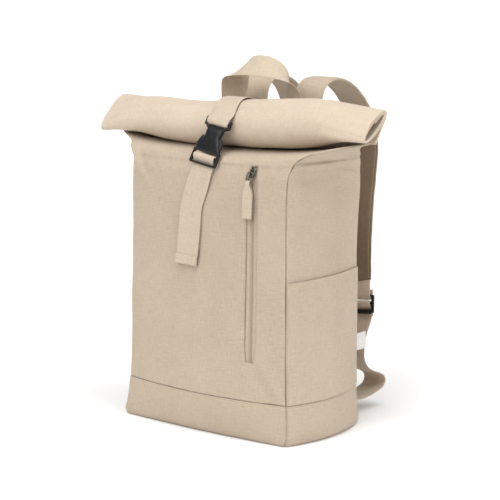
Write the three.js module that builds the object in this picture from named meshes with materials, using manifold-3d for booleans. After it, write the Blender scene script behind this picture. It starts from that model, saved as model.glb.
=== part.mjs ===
// A canvas rolltop backpack, closed and standing by itself.
// Millimetres. +X is to the right seen from the front, +Y is toward the wearer, +Z is up.
// The origin is the middle of the flat bottom.

import * as THREE from 'three';
import { mergeVertices } from 'three/addons/utils/BufferGeometryUtils.js';
import Module from 'manifold-3d';

const wasm = await Module();
wasm.setup();

// Driving dimensions

const bodyWidth = 290; // bottom, left to right
const bodyDepth = 168; // bottom, front to back
const mouthHeight = 390; // where the panels end and the rolled band begins, in the middle
const mouthLiftRight = 14; // how much higher the mouth lies at its right end
const mouthLiftLeft = 5;
const mouthHalf = 214; // half the length of the flattened mouth
const bandHeight = 57; // the hemmed band round the bottom
const canvas = 2; // body cloth with its lining
const seam = 0.3; // gap between two pieces that are sewn or pressed together
const floorCloth = 2.6; // the bottom with its stiffener

const rollLeft = 239; // how far the rolled band reaches to the left of the middle
const rollRight = 227; // and to the right
const rollDepth = 76; // the roll from front to back, in the middle
const rollHeight = 66; // the roll from bottom to top, in the middle
const rollCloth = 2.4; // the two layers of the band, lying together
const rollPitch = 3.1; // how far each turn lies inside the last one
const rollTurns = 1.5;
const stemClear = 1.1; // the band stands clear of the leaning side panels at its two ends

const webWidth = 38;
const webCloth = 1.6;

const pocketHeight = 223; // top hem of the slip pocket on the right side
const pocketCloth = 1.6;

const zipX = 91;
const zipBottom = 110;
const zipTop = 376;
const zipSlit = 17;
const zipSlitFoot = 12;
const zipTapeWidth = 30;
const zipTapeCloth = 1;
const zipTapeEnd = 6; // how far the tape runs past each end of the slit
const coilWidth = 5;
const coilDepth = 1.8;
const sliderZ = 365;
const sliderLength = 14;
const sliderWidth = 9;
const sliderDepth = 3;
const sliderClear = 0.9; // the slider's flat back on the bent coil
const crownLength = 9; // the bridge on the slider that holds the ring
const crownHeight = 5.4;
const crownWidth = 3;
const crownWire = 1.2;
const ringWidth = 12;
const ringLength = 18;
const ringWire = 1.6;
const tabWidth = 16;
const tabLength = 46;
const tabCloth = 1.3;
const tabGather = 7; // the tab's width where it goes round the ring
const tabTilt = 4 * THREE.MathUtils.DEG2RAD; // the tab stands off the panel below

const buckleTopX = 17;
const buckleTopZ = 428;
const buckleFootX = 7;
const buckleFootZ = 370;
const buckleStand = 8; // the buckle's middle plane in front of the panel at its foot
const buckleRollStand = 7; // and in front of the roll at its top
const buckleFootWidth = 49;
const buckleTopWidth = 45;
const buckleNeck = 29;
const buckleDepth = 9;
const buckleBar = 3;
const frameDepth = 3.6;
const slotSide = 0.9; // room at each side of the webbing in a slot
const tongueLength = 22;
const tongueWidth = 22;
const tongueDepth = 3.4;
const tailEndX = -18;
const tailEndZ = 232;
const tailBendX = -9;
const tailBendZ = 315;
const tailHem = 14;
const anchorEndZ = 256; // lower end of the sewn strap under its own tail
const hemShare = 0.6; // the doubled hem lies closer to the panel than a whole layer of webbing
const legRun = 4; // how far both legs of a wrapped strap run straight past a foot bar
const upperFootZ = 350; // where the closure strap is sewn to the back panel
const rollClear = 1.2; // the taut strap over the roll, which is a little uneven below it

const handleHalf = 52.5;
const handleY = 50; // where the handle's legs stand, behind the roll
const handleLean = 18; // how far the top of the arch leans to the front
const handleTop = 497; // middle of the webbing at the top of the arch
const handleFlap = 22; // sewn flap behind each foot
const flapClear = 0.6; // the flap over the slope of the back panel

const strapWidth = 49;
const strapPad = 5;
const strapX = 48.5;
const strapSplay = 52; // how much further out the strap's lower end lies
const strapReach = 113; // how far the strap stands off behind the back panel
const strapAnchorZ = 352;
const strapRise = 124; // from the stitched foot to the top of the arch
const strapDrop = 160; // from the stitched foot down to the adjuster

const lockWidth = 48;
const lockBar = 3;
const lockDepth = 3.6;
const lockSlotTop = 8; // slot for the strap's end
const lockSlotFoot = 7; // slot for the lower webbing
const lockFoot = 6.5; // the broad bar at the foot
const lockX = 105;
const lockY = 141;
const lockZ = 157;

const wingReach = 96; // how far the lower webbing stands off behind the bottom band
const wingFootX = 98;
const wingFootZ = 30;

const labelWidth = 22;
const labelHeight = 24;
const labelZ = 103;
const labelCloth = 1.4;

const halfWidth = bodyWidth / 2;
const halfDepth = bodyDepth / 2;
const touch = seam + 0.15; // clearance on a curved, faceted face

// Body sections
// The body is a tube of four panels. Each row is one level, with lengths as shares:
// left, right, leftBack and rightBack of half the width, front and back of half the depth,
// the three puffs of half the depth, lift of the mouth's lift, and cut of the canvas.
// flare is how far the widths have opened toward the length of the flattened mouth.

const panelRows = [
  { up: 0.0, left: 0.924, right: 1.021, leftBack: 0.93, rightBack: 0.972, front: 1.012, back: 1.0,
    puffFront: 0.21, puffBack: 0.1, puffSide: 0.25, lift: 0, cut: 1, flare: 0 },
  { up: 0.114, left: 0.908, right: 1.017, leftBack: 0.92, rightBack: 0.969, front: 1.012, back: 1.0,
    puffFront: 0.165, puffBack: 0.08, puffSide: 0.19, lift: 0, cut: 1, flare: 0 },
  { up: 0.33, left: 0.901, right: 1.017, leftBack: 0.91, rightBack: 0.969, front: 1.012, back: 1.0,
    puffFront: 0.119, puffBack: 0.05, puffSide: 0.12, lift: 0, cut: 1, flare: 0 },
  { up: 0.55, left: 0.883, right: 1.017, leftBack: 0.9, rightBack: 0.972, front: 1.012, back: 1.0,
    puffFront: 0.083, puffBack: 0.04, puffSide: 0.083, lift: 0, cut: 1, flare: 0 },
  { up: 0.738, left: 0.873, right: 1.017, leftBack: 0.89, rightBack: 0.985, front: 1.012, back: 1.0,
    puffFront: 0.06, puffBack: 0.04, puffSide: 0.06, lift: 0, cut: 1, flare: 0 },
  { up: 0.865, left: 0.874, right: 1.024, leftBack: 0.89, rightBack: 1.006, front: 1.008, back: 1.0,
    puffFront: 0.048, puffBack: 0.03, puffSide: 0.06, lift: 0, cut: 1, flare: 0 },
  { up: 0.915, left: 0.877, right: 1.034, leftBack: 0.9, rightBack: 1.014, front: 0.99, back: 0.985,
    puffFront: 0.04, puffBack: 0.02, puffSide: 0.035, lift: 0.1, cut: 1.05, flare: 0 },
  { up: 0.943, left: 0.885, right: 1.055, leftBack: 0.91, rightBack: 1.035, front: 0.94, back: 0.93,
    puffFront: 0.035, puffBack: 0.015, puffSide: 0.0, lift: 0.2, cut: 1.25, flare: 0 },
  { up: 0.962, left: 0.859, right: 1.06, leftBack: 0.897, rightBack: 1.038, front: 0.83, back: 0.82,
    puffFront: 0.03, puffBack: 0.01, puffSide: 0.11, lift: 0.35, cut: 1.5, flare: 0.08 },
  { up: 0.978, left: 0.821, right: 1.054, leftBack: 0.848, rightBack: 1.027, front: 0.64, back: 0.63,
    puffFront: 0.02, puffBack: 0.01, puffSide: 0.07, lift: 0.55, cut: 1.7, flare: 0.27 },
  { up: 0.99, left: 0.8, right: 1.038, leftBack: 0.824, rightBack: 1.015, front: 0.38, back: 0.37,
    puffFront: 0.01, puffBack: 0.0, puffSide: 0.03, lift: 0.8, cut: 1.85, flare: 0.58 },
  { up: 1.0, left: 0.8, right: 1.03, leftBack: 0.82, rightBack: 1.01, front: 0.085, back: 0.085,
    puffFront: 0.0, puffBack: 0.0, puffSide: 0.0, lift: 1, cut: 1.9, flare: 1 },
];

// The bottom band, with up as a share of its height.
const bandRows = [
  { up: 0.0, left: 0.978, right: 0.992, leftBack: 0.975, rightBack: 0.985, front: 0.985, back: 0.985,
    puffFront: 0.05, puffBack: 0.03, puffSide: 0.19, lift: 0, cut: 1, flare: 0 },
  { up: 0.07, left: 0.993, right: 1.008, leftBack: 0.985, rightBack: 0.995, front: 1.006, back: 1.004,
    puffFront: 0.07, puffBack: 0.04, puffSide: 0.21, lift: 0, cut: 1, flare: 0 },
  { up: 0.35, left: 0.969, right: 1.034, leftBack: 0.965, rightBack: 0.985, front: 1.02, back: 1.008,
    puffFront: 0.143, puffBack: 0.07, puffSide: 0.238, lift: 0, cut: 1, flare: 0 },
  { up: 0.7, left: 0.942, right: 1.027, leftBack: 0.945, rightBack: 0.975, front: 1.016, back: 1.003,
    puffFront: 0.19, puffBack: 0.09, puffSide: 0.25, lift: 0, cut: 1, flare: 0 },
  { up: 1.0, left: 0.924, right: 1.021, leftBack: 0.93, rightBack: 0.972, front: 1.012, back: 1.0,
    puffFront: 0.21, puffBack: 0.1, puffSide: 0.25, lift: 0, cut: 1, flare: 0 },
];

const panelFoot = bandHeight + seam;
const panelHeight = mouthHeight - panelFoot;
const frontSpans = 12;
const sideSpans = 8;

const mix = (a, b, share) => a + (b - a) * share;

function levelOf(row, foot, height) {
  return {
    z: foot + row.up * height,
    left: mix(row.left * halfWidth, mouthHalf, row.flare),
    right: mix(row.right * halfWidth, mouthHalf, row.flare),
    leftBack: mix(row.leftBack * halfWidth, mouthHalf, row.flare),
    rightBack: mix(row.rightBack * halfWidth, mouthHalf, row.flare),
    front: row.front * halfDepth,
    back: row.back * halfDepth,
    puffFront: row.puffFront * halfDepth,
    puffBack: row.puffBack * halfDepth,
    puffSide: row.puffSide * halfDepth,
    lift: row.lift,
    cut: row.cut * canvas,
  };
}

const panelLevels = panelRows.map((row) => levelOf(row, panelFoot, panelHeight));
const slopeRow = 6; // the first level of the slope that closes the body to its mouth
const mouthLevel = panelLevels[panelLevels.length - 1];
const bandLevels = bandRows.map((row) => levelOf(row, 0, bandHeight));

// One level between two rows, so that what is sewn on a panel can follow it.
function levelAt(z) {
  const last = panelLevels.length - 1;
  const next = panelLevels.findIndex((level) => level.z > z);
  const upper = next < 0 ? last : Math.max(1, next);
  const a = panelLevels[upper - 1];
  const b = panelLevels[upper];
  const share = (z - a.z) / (b.z - a.z);
  const level = {};
  for (const key of Object.keys(a)) level[key] = a[key] + (b[key] - a[key]) * share;
  return level;
}

const closeRow = 1; // a level nearer than this to the end of a strip is left out

// The heights of a strip that is sewn on a panel: its two ends and the levels between them.
function heightsBetween(low, high) {
  const inner = panelLevels.map((level) => level.z)
    .filter((z) => z > low + closeRow && z < high - closeRow);
  return [low, ...inner, high];
}

const arch = (t) => 1 - t * t;
// The mouth's lift grows toward its two ends; across is -1 at the left end and 1 at the right.
const liftAt = (level, across) => {
  const rise = across < 0 ? mouthLiftLeft : mouthLiftRight;
  return level.lift * rise * Math.min(1, Math.abs(across)) ** 3;
};

// A point of each wall: t runs from -1 to 1 along the wall, deep is measured level into the bag,
// and inset keeps the wall's end clear of its neighbour.
const walls = {
  front(level, t, deep, inset) {
    const share = (t + 1) / 2;
    const x = mix(-(level.left - deep) + inset, level.right - deep - inset, share);
    return [x, -(level.front - deep) - level.puffFront * arch(t), level.z + liftAt(level, t)];
  },
  back(level, t, deep, inset) {
    const share = (t + 1) / 2;
    const x = mix(level.rightBack - deep - inset, -(level.leftBack - deep) + inset, share);
    return [x, level.back - deep + level.puffBack * arch(t), level.z + liftAt(level, -t)];
  },
  right(level, t, deep, inset) {
    const share = (t + 1) / 2;
    const x = mix(level.right, level.rightBack, share) - deep + level.puffSide * arch(t);
    const y = mix(-(level.front - deep) + inset, level.back - deep - inset, share);
    return [x, y, level.z + liftAt(level, 1)];
  },
  left(level, t, deep, inset) {
    const share = (t + 1) / 2;
    const x = mix(-level.leftBack, -level.left, share) + deep - level.puffSide * arch(t);
    const y = mix(level.back - deep - inset, -(level.front - deep) + inset, share);
    return [x, y, level.z + liftAt(level, -1)];
  },
};

// The front wall's face at a given x and height.
function frontFace(x, z) {
  const level = levelAt(z);
  const share = (x + level.left) / (level.left + level.right);
  const t = share * 2 - 1;
  return -level.front - level.puffFront * arch(t);
}

function backFace(x, z) {
  const level = levelAt(z);
  const share = (x + level.leftBack) / (level.leftBack + level.rightBack);
  const t = share * 2 - 1;
  return level.back + level.puffBack * arch(t);
}

// Solids

function closedGeometry(points, faces) {
  const geometry = new THREE.BufferGeometry();
  geometry.setAttribute('position', new THREE.Float32BufferAttribute(points.flat(), 3));
  geometry.setIndex(faces.flat());
  return geometry;
}

// A sheet with thickness: two grids of points of the same size, joined along their four borders.
// The outer grid's rows and columns turn so that its faces look away from the inner grid.
function sheetSolid(outer, inner) {
  const rows = outer.length;
  const columns = outer[0].length;
  const points = [...outer.flat(), ...inner.flat()];
  const o = (i, j) => i * columns + j;
  const n = (i, j) => rows * columns + i * columns + j;
  const faces = [];
  const quad = (a, b, c, d) => faces.push([a, b, c], [a, c, d]);
  for (let i = 0; i < rows - 1; i += 1) {
    for (let j = 0; j < columns - 1; j += 1) {
      quad(o(i, j), o(i, j + 1), o(i + 1, j + 1), o(i + 1, j));
      quad(n(i, j), n(i + 1, j), n(i + 1, j + 1), n(i, j + 1));
    }
  }
  for (let j = 0; j < columns - 1; j += 1) {
    quad(o(0, j + 1), o(0, j), n(0, j), n(0, j + 1));
    quad(o(rows - 1, j), o(rows - 1, j + 1), n(rows - 1, j + 1), n(rows - 1, j));
  }
  for (let i = 0; i < rows - 1; i += 1) {
    quad(o(i, 0), o(i + 1, 0), n(i + 1, 0), n(i, 0));
    quad(o(i + 1, columns - 1), o(i, columns - 1), n(i, columns - 1), n(i + 1, columns - 1));
  }
  return closedGeometry(points, faces);
}

// A stack of closed rings, with the first and last ring closed by a flat or dished cap.
function ringSolid(rings) {
  const count = rings[0].length;
  const points = rings.flat();
  const faces = [];
  for (let i = 0; i < rings.length - 1; i += 1) {
    for (let j = 0; j < count; j += 1) {
      const k = (j + 1) % count;
      const a = i * count;
      const b = a + count;
      faces.push([a + j, a + k, b + k], [a + j, b + k, b + j]);
    }
  }
  const cap = (ring, base, flip) => {
    const outline = ring.map(([x, y]) => new THREE.Vector2(x, y));
    for (const [a, b, c] of THREE.ShapeUtils.triangulateShape(outline, [])) {
      faces.push(flip ? [base + c, base + b, base + a] : [base + a, base + b, base + c]);
    }
  };
  cap(rings[0], 0, true);
  cap(rings[rings.length - 1], (rings.length - 1) * count, false);
  return closedGeometry(points, faces);
}

// A strip of webbing along a route. Each stop has a place, a width direction, a width and a
// thickness; side says which way its face looks from the route's own direction.
function stripSolid(stops) {
  const outer = [];
  const inner = [];
  stops.forEach((stop, i) => {
    const before = new THREE.Vector3(...stops[Math.max(0, i - 1)].at);
    const after = new THREE.Vector3(...stops[Math.min(stops.length - 1, i + 1)].at);
    const along = after.sub(before).normalize();
    const across = new THREE.Vector3(...stop.across);
    across.addScaledVector(along, -across.dot(along)).normalize();
    const face = new THREE.Vector3().crossVectors(across, along).normalize();
    const at = new THREE.Vector3(...stop.at);
    const corner = (w, n) => {
      const p = at.clone().addScaledVector(across, w * stop.width / 2);
      return p.addScaledVector(face, n * stop.thick / 2).toArray();
    };
    outer.push([corner(-1, 1), corner(1, 1)]);
    inner.push([corner(-1, -1), corner(1, -1)]);
  });
  return sheetSolid(outer, inner);
}

const weld = 1e-4;

function toManifold(geometry) {
  const bare = geometry.clone();
  for (const name of ['normal', 'uv']) bare.deleteAttribute(name);
  const merged = mergeVertices(bare, weld);
  const mesh = new wasm.Mesh({
    numProp: 3,
    vertProperties: new Float32Array(merged.attributes.position.array),
    triVerts: new Uint32Array(merged.index.array),
  });
  return new wasm.Manifold(mesh);
}

function fromManifold(solid) {
  const mesh = solid.getMesh();
  const geometry = new THREE.BufferGeometry();
  geometry.setAttribute('position', new THREE.Float32BufferAttribute(mesh.vertProperties, 3));
  geometry.setIndex([...mesh.triVerts]);
  return geometry;
}

// A flat outline given a depth, centred on its own plane.
function extruded(outline, depth) {
  const shape = new THREE.Shape(outline.map(([x, y]) => new THREE.Vector2(x, y)));
  const geometry = new THREE.ExtrudeGeometry(shape, { depth, bevelEnabled: false, steps: 1 });
  geometry.translate(0, 0, -depth / 2);
  return geometry;
}

// The same as a solid, with holes cut right through it.
function plateSolid(outline, holes, depth) {
  let plate = toManifold(extruded(outline, depth));
  for (const hole of holes) plate = plate.subtract(toManifold(extruded(hole, 2 * depth)));
  return plate;
}

const rectangle = (x0, x1, y0, y1) => [[x0, y0], [x1, y0], [x1, y1], [x0, y1]];

// Materials

const plain = (color, roughness, metalness) => (
  new THREE.MeshStandardMaterial({ color, roughness, metalness })
);
const bodyCanvas = plain(0xcdbaa2, 0.9, 0);
const bandCanvas = plain(0xc9b69d, 0.9, 0);
const strapWebbing = plain(0xd8c7ae, 0.85, 0);
const zipTape = plain(0xc2ae93, 0.8, 0);
const buckleBlack = plain(0x26282b, 0.4, 0);
const sliderMetal = plain(0x8c8a86, 0.35, 1);
const labelWhite = plain(0xf2f0ec, 0.7, 0);

const backpack = new THREE.Group();

function addPiece(name, geometry, material, parent = backpack) {
  const mesh = new THREE.Mesh(geometry, material);
  mesh.name = name;
  parent.add(mesh);
  return mesh;
}

// Body panels and bottom band

const panelInset = seam * Math.SQRT1_2;

function panelGeometry(wall, spans) {
  const grid = (share) => panelLevels.map((level) => {
    const row = [];
    for (let j = 0; j <= spans; j += 1) {
      row.push(wall(level, (2 * j) / spans - 1, share * level.cut, panelInset));
    }
    return row;
  });
  return sheetSolid(grid(0), grid(1));
}

// The slit for the zip, narrower at its foot, cut through the front panel.
function slitCutter() {
  const half = zipSlit / 2;
  const footHalf = zipSlitFoot / 2;
  const taper = zipSlit;
  const outline = [
    [zipX - footHalf, zipBottom], [zipX + footHalf, zipBottom],
    [zipX + half, zipBottom + taper], [zipX + half, zipTop],
    [zipX - half, zipTop], [zipX - half, zipBottom + taper],
  ];
  const cutter = extruded(outline, bodyDepth);
  cutter.rotateX(Math.PI / 2);
  cutter.translate(0, -halfDepth, 0);
  return cutter;
}

const frontWhole = toManifold(panelGeometry(walls.front, frontSpans));
addPiece('front_panel', fromManifold(frontWhole.subtract(toManifold(slitCutter()))), bodyCanvas);
addPiece('back_panel', panelGeometry(walls.back, frontSpans), bodyCanvas);
addPiece('side_panel_right', panelGeometry(walls.right, sideSpans), bodyCanvas);
addPiece('side_panel_left', panelGeometry(walls.left, sideSpans), bodyCanvas);

function bandRing(level, deep, z) {
  const ring = [];
  const order = [[walls.front, frontSpans], [walls.right, sideSpans],
    [walls.back, frontSpans], [walls.left, sideSpans]];
  for (const [wall, spans] of order) {
    for (let j = 0; j < spans; j += 1) {
      const [x, y] = wall(level, (2 * j) / spans - 1, deep, 0);
      ring.push([x, y, z]);
    }
  }
  return ring;
}

function bottomBand() {
  const rings = bandLevels.map((level) => bandRing(level, 0, level.z));
  for (const level of [...bandLevels].reverse()) {
    if (level.z > floorCloth) rings.push(bandRing(level, canvas, level.z));
  }
  rings.push(bandRing(bandLevels[1], canvas, floorCloth));
  return ringSolid(rings);
}

addPiece('bottom_band', bottomBand(), bandCanvas);

// The rolled mouth
// The band leaves the mouth, goes up the back of the roll, over its top, down its front and
// into its core. Each row is one station: along as a share of the reach to that side, middle of half
// the body's depth, rise of the roll's height above the mouth, deep and high of the roll's own
// depth and height, and lean in degrees, low at the front.

const rollRows = [
  { along: -1, middle: -0.005, rise: 0.45, deep: 0.93, high: 0.32, lean: 41 },
  { along: -0.92, middle: -0.03, rise: 0.475, deep: 0.93, high: 0.4, lean: 37 },
  { along: -0.8, middle: -0.1, rise: 0.49, deep: 0.95, high: 0.58, lean: 28 },
  { along: -0.62, middle: -0.17, rise: 0.475, deep: 0.97, high: 0.74, lean: 19 },
  { along: -0.4, middle: -0.23, rise: 0.44, deep: 1.0, high: 0.87, lean: 14 },
  { along: -0.18, middle: -0.25, rise: 0.435, deep: 1.0, high: 0.92, lean: 12 },
  { along: 0.06, middle: -0.26, rise: 0.48, deep: 1.0, high: 0.99, lean: 12 },
  { along: 0.3, middle: -0.26, rise: 0.505, deep: 1.0, high: 1.0, lean: 12 },
  { along: 0.5, middle: -0.22, rise: 0.54, deep: 1.0, high: 0.99, lean: 14 },
  { along: 0.7, middle: -0.16, rise: 0.6, deep: 0.97, high: 0.9, lean: 19 },
  { along: 0.84, middle: -0.08, rise: 0.6, deep: 0.92, high: 0.6, lean: 28 },
  { along: 0.93, middle: -0.02, rise: 0.585, deep: 0.86, high: 0.42, lean: 34 },
  { along: 1, middle: 0.0, rise: 0.57, deep: 0.84, high: 0.32, lean: 37 },
];
const rollStart = -62 * THREE.MathUtils.DEG2RAD; // where the band meets the roll, at its lower back
const rollSteps = 26;

const rollX = (row) => row.along * (row.along < 0 ? rollLeft : rollRight);

// A point on the roll's face: turn is the angle gone since the start, in turns.
function rollPoint(row, turn, inward) {
  const angle = rollStart + turn * 2 * Math.PI;
  const a = row.deep * rollDepth / 2 - rollPitch * turn - inward;
  const b = row.high * rollHeight / 2 - rollPitch * turn - inward;
  const lean = row.lean * THREE.MathUtils.DEG2RAD;
  const p = a * Math.cos(angle);
  const q = b * Math.sin(angle);
  return [
    rollX(row),
    row.middle * halfDepth + p * Math.cos(lean) - q * Math.sin(lean),
    mouthHeight + row.rise * rollHeight + p * Math.sin(lean) + q * Math.cos(lean),
  ];
}

function rolledMouth() {
  const grid = (inward, stemSide) => rollRows.map((row) => {
    const x = rollX(row);
    const foot = mouthHeight + liftAt(mouthLevel, x / mouthHalf) + seam
      + stemClear * Math.abs(x / mouthHalf) ** 3;
    const stem = [x, stemSide * rollCloth / 2, foot];
    const line = [stem];
    for (let k = 0; k <= rollSteps; k += 1) {
      line.push(rollPoint(row, (rollTurns * k) / rollSteps, inward));
    }
    return line;
  });
  return sheetSolid(grid(0, 1), grid(rollCloth, -1));
}

addPiece('rolled_mouth', rolledMouth(), bodyCanvas);

// The slip pocket on the right side

function sidePocket() {
  const foot = panelFoot + seam;
  const heights = heightsBetween(foot, pocketHeight);
  const grid = (deep) => heights.map((z) => {
    const row = [];
    for (let j = 0; j <= sideSpans; j += 1) {
      row.push(walls.right(levelAt(z), (2 * j) / sideSpans - 1, deep, panelInset));
    }
    return row;
  });
  return sheetSolid(grid(-touch - pocketCloth), grid(-touch));
}

addPiece('side_pocket_right', sidePocket(), bodyCanvas);

// Zip in the front panel: tape behind the slit, coil, slider, ring and pull tab

const tapeGap = touch;
const tapeFace = (x, z) => frontFace(x, z) + levelAt(z).cut + tapeGap;

// A strip that follows the front wall between two heights, at a depth behind its face.
function alongFront(x0, x1, z0, z1, depthAt, thickness) {
  const heights = heightsBetween(z0, z1);
  const grid = (extra) => heights.map((z) => [x0, x1].map((x) => [x, depthAt(x, z) + extra, z]));
  return sheetSolid(grid(0), grid(thickness));
}

const tapeFoot = zipBottom - zipTapeEnd;
const tapeHead = zipTop + zipTapeEnd;
addPiece('zip_tape', alongFront(zipX - zipTapeWidth / 2, zipX + zipTapeWidth / 2, tapeFoot, tapeHead,
  tapeFace, zipTapeCloth), zipTape);

const coilFace = (x, z) => tapeFace(zipX, z) - seam - coilDepth;
addPiece('zip_coil', alongFront(zipX - coilWidth / 2, zipX + coilWidth / 2, zipBottom, zipTop,
  coilFace, coilDepth), zipTape);

// A frame of its own for a flat piece: w across, s down the piece and n out of its face.
function faceFrame(top, foot) {
  const down = foot.clone().sub(top).normalize();
  const across = new THREE.Vector3(1, 0, 0).addScaledVector(down, -down.x).normalize();
  const out = new THREE.Vector3().crossVectors(down, across).normalize();
  const place = (w, s, n) => (
    top.clone().addScaledVector(across, w).addScaledVector(down, s).addScaledVector(out, n)
  );
  const group = new THREE.Group();
  const basis = new THREE.Matrix4().makeBasis(across, down.clone().negate(), out);
  group.applyMatrix4(basis.setPosition(top));
  return { place, group, across };
}

// Turns an outline in w and s into one that ExtrudeGeometry can use in that frame.
const flipped = (outline) => outline.map(([w, s]) => [w, -s]);
const both = (half) => [...half, ...[...half].reverse().map(([w, s]) => [-w, s])];

const sliderStand = coilFace(zipX, sliderZ) - sliderClear - sliderDepth / 2;
const sliderSlope = (coilFace(zipX, sliderZ + sliderLength / 2)
  - coilFace(zipX, sliderZ - sliderLength / 2)) / sliderLength;
const sliderTop = new THREE.Vector3(zipX, sliderStand, sliderZ);
const sliderFrame = faceFrame(sliderTop, sliderTop.clone().add(new THREE.Vector3(0, -sliderSlope, -1)));
backpack.add(sliderFrame.group);

function sliderGeometry() {
  const half = sliderWidth / 2;
  const halfLength = sliderLength / 2;
  const body = extruded(flipped(both([
    [half * 0.7, -halfLength], [half, -halfLength * 0.5], [half * 0.75, halfLength],
  ])), sliderDepth);
  const foot = sliderDepth / 2 - crownWire / 2;
  const top = sliderDepth / 2 + crownHeight;
  const reach = crownLength / 2;
  const crown = plateSolid(
    [[-reach, foot], [reach, foot], [reach * 0.9, top - crownWire], [reach * 0.6, top],
      [-reach * 0.6, top], [-reach * 0.9, top - crownWire]],
    [[[-reach + crownWire, sliderDepth / 2], [-reach + crownWire * 1.4, top - crownWire],
      [reach - crownWire * 1.4, top - crownWire], [reach - crownWire, sliderDepth / 2]]],
    crownWidth,
  );
  const turned = crown.rotate([90, 0, 90]);
  return fromManifold(toManifold(body).add(turned));
}

addPiece('zip_slider', sliderGeometry(), sliderMetal, sliderFrame.group);

// The ring hangs in the crown, and the tab hangs on the ring.
const ringStand = sliderDepth / 2 + (crownHeight - crownWire) / 2;
const ringTop = sliderFrame.place(0, 0, ringStand);
const pullDown = new THREE.Vector3(0, -Math.sin(tabTilt), -Math.cos(tabTilt));
const pullFrame = faceFrame(ringTop, ringTop.clone().add(pullDown));
backpack.add(pullFrame.group);

function ringGeometry() {
  const halfWide = (ringWidth - ringWire) / 2;
  const halfLong = (ringLength - ringWire) / 2;
  const ring = new THREE.TorusGeometry(halfWide, ringWire / 2, 6, 20);
  ring.scale(1, halfLong / halfWide, 1);
  ring.translate(0, -halfLong, 0);
  return fromManifold(toManifold(ring));
}

addPiece('zip_pull_ring', ringGeometry(), sliderMetal, pullFrame.group);

function stopIn(frame, width, thick) {
  return ([s, n]) => ({
    at: frame.place(0, s, n).toArray(), across: frame.across.toArray(), width, thick,
  });
}

// The folded tab: up its back, round the ring's lower end and down its front. It is gathered
// to the width of the ring's end where it goes round it.
function tabStops() {
  const wireAt = ringLength - ringWire;
  const loop = ringWire / 2 + seam + tabCloth / 2;
  const leg = tabCloth / 2 + seam / 2;
  const foot = wireAt + tabLength;
  const rise = ringLength / 4; // the fold clears the ring's curve
  const half = [
    [foot, leg, tabWidth], [wireAt + 3 * rise, leg, tabWidth], [wireAt + 2 * rise, leg, tabWidth],
    [wireAt + rise / 2, loop, tabGather], [wireAt - rise * 0.75, loop, tabGather],
  ];
  const stops = [
    ...half.map(([s, n, width]) => [s, -n, width]), [wireAt - rise, 0, tabGather], ...half.reverse(),
  ];
  return stops.map(([s, n, width]) => stopIn(pullFrame, width, tabCloth)([s, n]));
}

addPiece('zip_pull_tab', stripSolid(tabStops()), strapWebbing);

// How the near leg crosses from the face of its bar to the back of the foot bar, as shares of the
// way down and of the way out.
const legCrossing = [[0.265, 0.9], [0.5, 0.295], [0.73, -0.426], [0.95, -0.967]];

// Webbing that comes up behind a foot bar, goes round a bar above it and returns between the
// foot bar and itself. The list starts at the far leg and ends at the near one.
function wrapRoute(bar, depth, slot, footBar) {
  const half = webCloth / 2;
  const radius = Math.hypot(bar / 2, depth / 2) + seam + half;
  const near = depth / 2 + touch + half;
  const far = near + webCloth + touch;
  const foot = bar / 2 + slot; // upper edge of the foot bar
  const corner = radius * Math.SQRT1_2;
  const past = foot + footBar + legRun;
  return [
    [past, -far], [foot - bar / 3, -far], [bar, -far + seam],
    [0, -radius], [-corner, -corner], [-radius, 0], [-corner, corner], [0, radius],
    ...legCrossing.map(([down, out]) => [down * foot, out * near]),
    [foot + footBar / 2, -near], [past, -near],
  ];
}

// Buckle on the closure strap

const rollRow = rollRows.find((row) => row.along > 0);
const rollFrontAngle = 172 * THREE.MathUtils.DEG2RAD; // the roll's foremost place, before its lean
const rollFrontTurn = (rollFrontAngle - rollStart) / (2 * Math.PI);
const rollFrontY = rollPoint(rollRow, rollFrontTurn, 0)[1];
const buckleTop = new THREE.Vector3(buckleTopX, rollFrontY - buckleRollStand, buckleTopZ);
const buckleFoot = new THREE.Vector3(
  buckleFootX, frontFace(buckleFootX, buckleFootZ) - buckleStand, buckleFootZ,
);
const buckleLength = buckleTop.distanceTo(buckleFoot);
const buckleFrame = faceFrame(buckleTop, buckleFoot);
backpack.add(buckleFrame.group);

const slotHalf = webWidth / 2 + slotSide;
const maleBarAt = 3;
const maleSlot = 3.2;
const maleTaper = 3.6; // from the slot down to the neck
const maleSlotFoot = maleBarAt + buckleBar + maleSlot;
const neckAt = maleSlotFoot + maleTaper;

function maleGeometry() {
  const half = buckleTopWidth / 2;
  const neck = buckleNeck / 2 - seam;
  const tongue = tongueWidth / 2;
  const outline = both([
    [slotHalf + seam, maleBarAt - buckleBar / 2], [slotHalf + seam, -buckleBar / 2],
    [half, -buckleBar / 2], [half, maleSlotFoot], [neck, neckAt],
  ]);
  const slot = rectangle(-slotHalf, slotHalf, maleBarAt + buckleBar / 2, maleSlotFoot - buckleBar / 2);
  const plate = plateSolid(flipped(outline), [flipped(slot)], frameDepth);
  const tip = neckAt + tongueLength;
  const plug = extruded(flipped(both([
    [tongue, neckAt - buckleBar / 2], [tongue, tip - tongue / 2], [tongue * 0.7, tip],
  ])), tongueDepth);
  return fromManifold(plate.add(toManifold(plug)));
}

addPiece('buckle_male', maleGeometry(), buckleBlack, buckleFrame.group);

const footSlot = 7;
const footBarEdge = buckleLength - buckleBar; // upper edge of the buckle's foot bar
const wrapBarAt = footBarEdge - footSlot - buckleBar / 2;
const bodySlot = 5.5; // between the hollow body and the bar that the webbing goes round
const bodyEnd = wrapBarAt - buckleBar / 2 - bodySlot;

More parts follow.
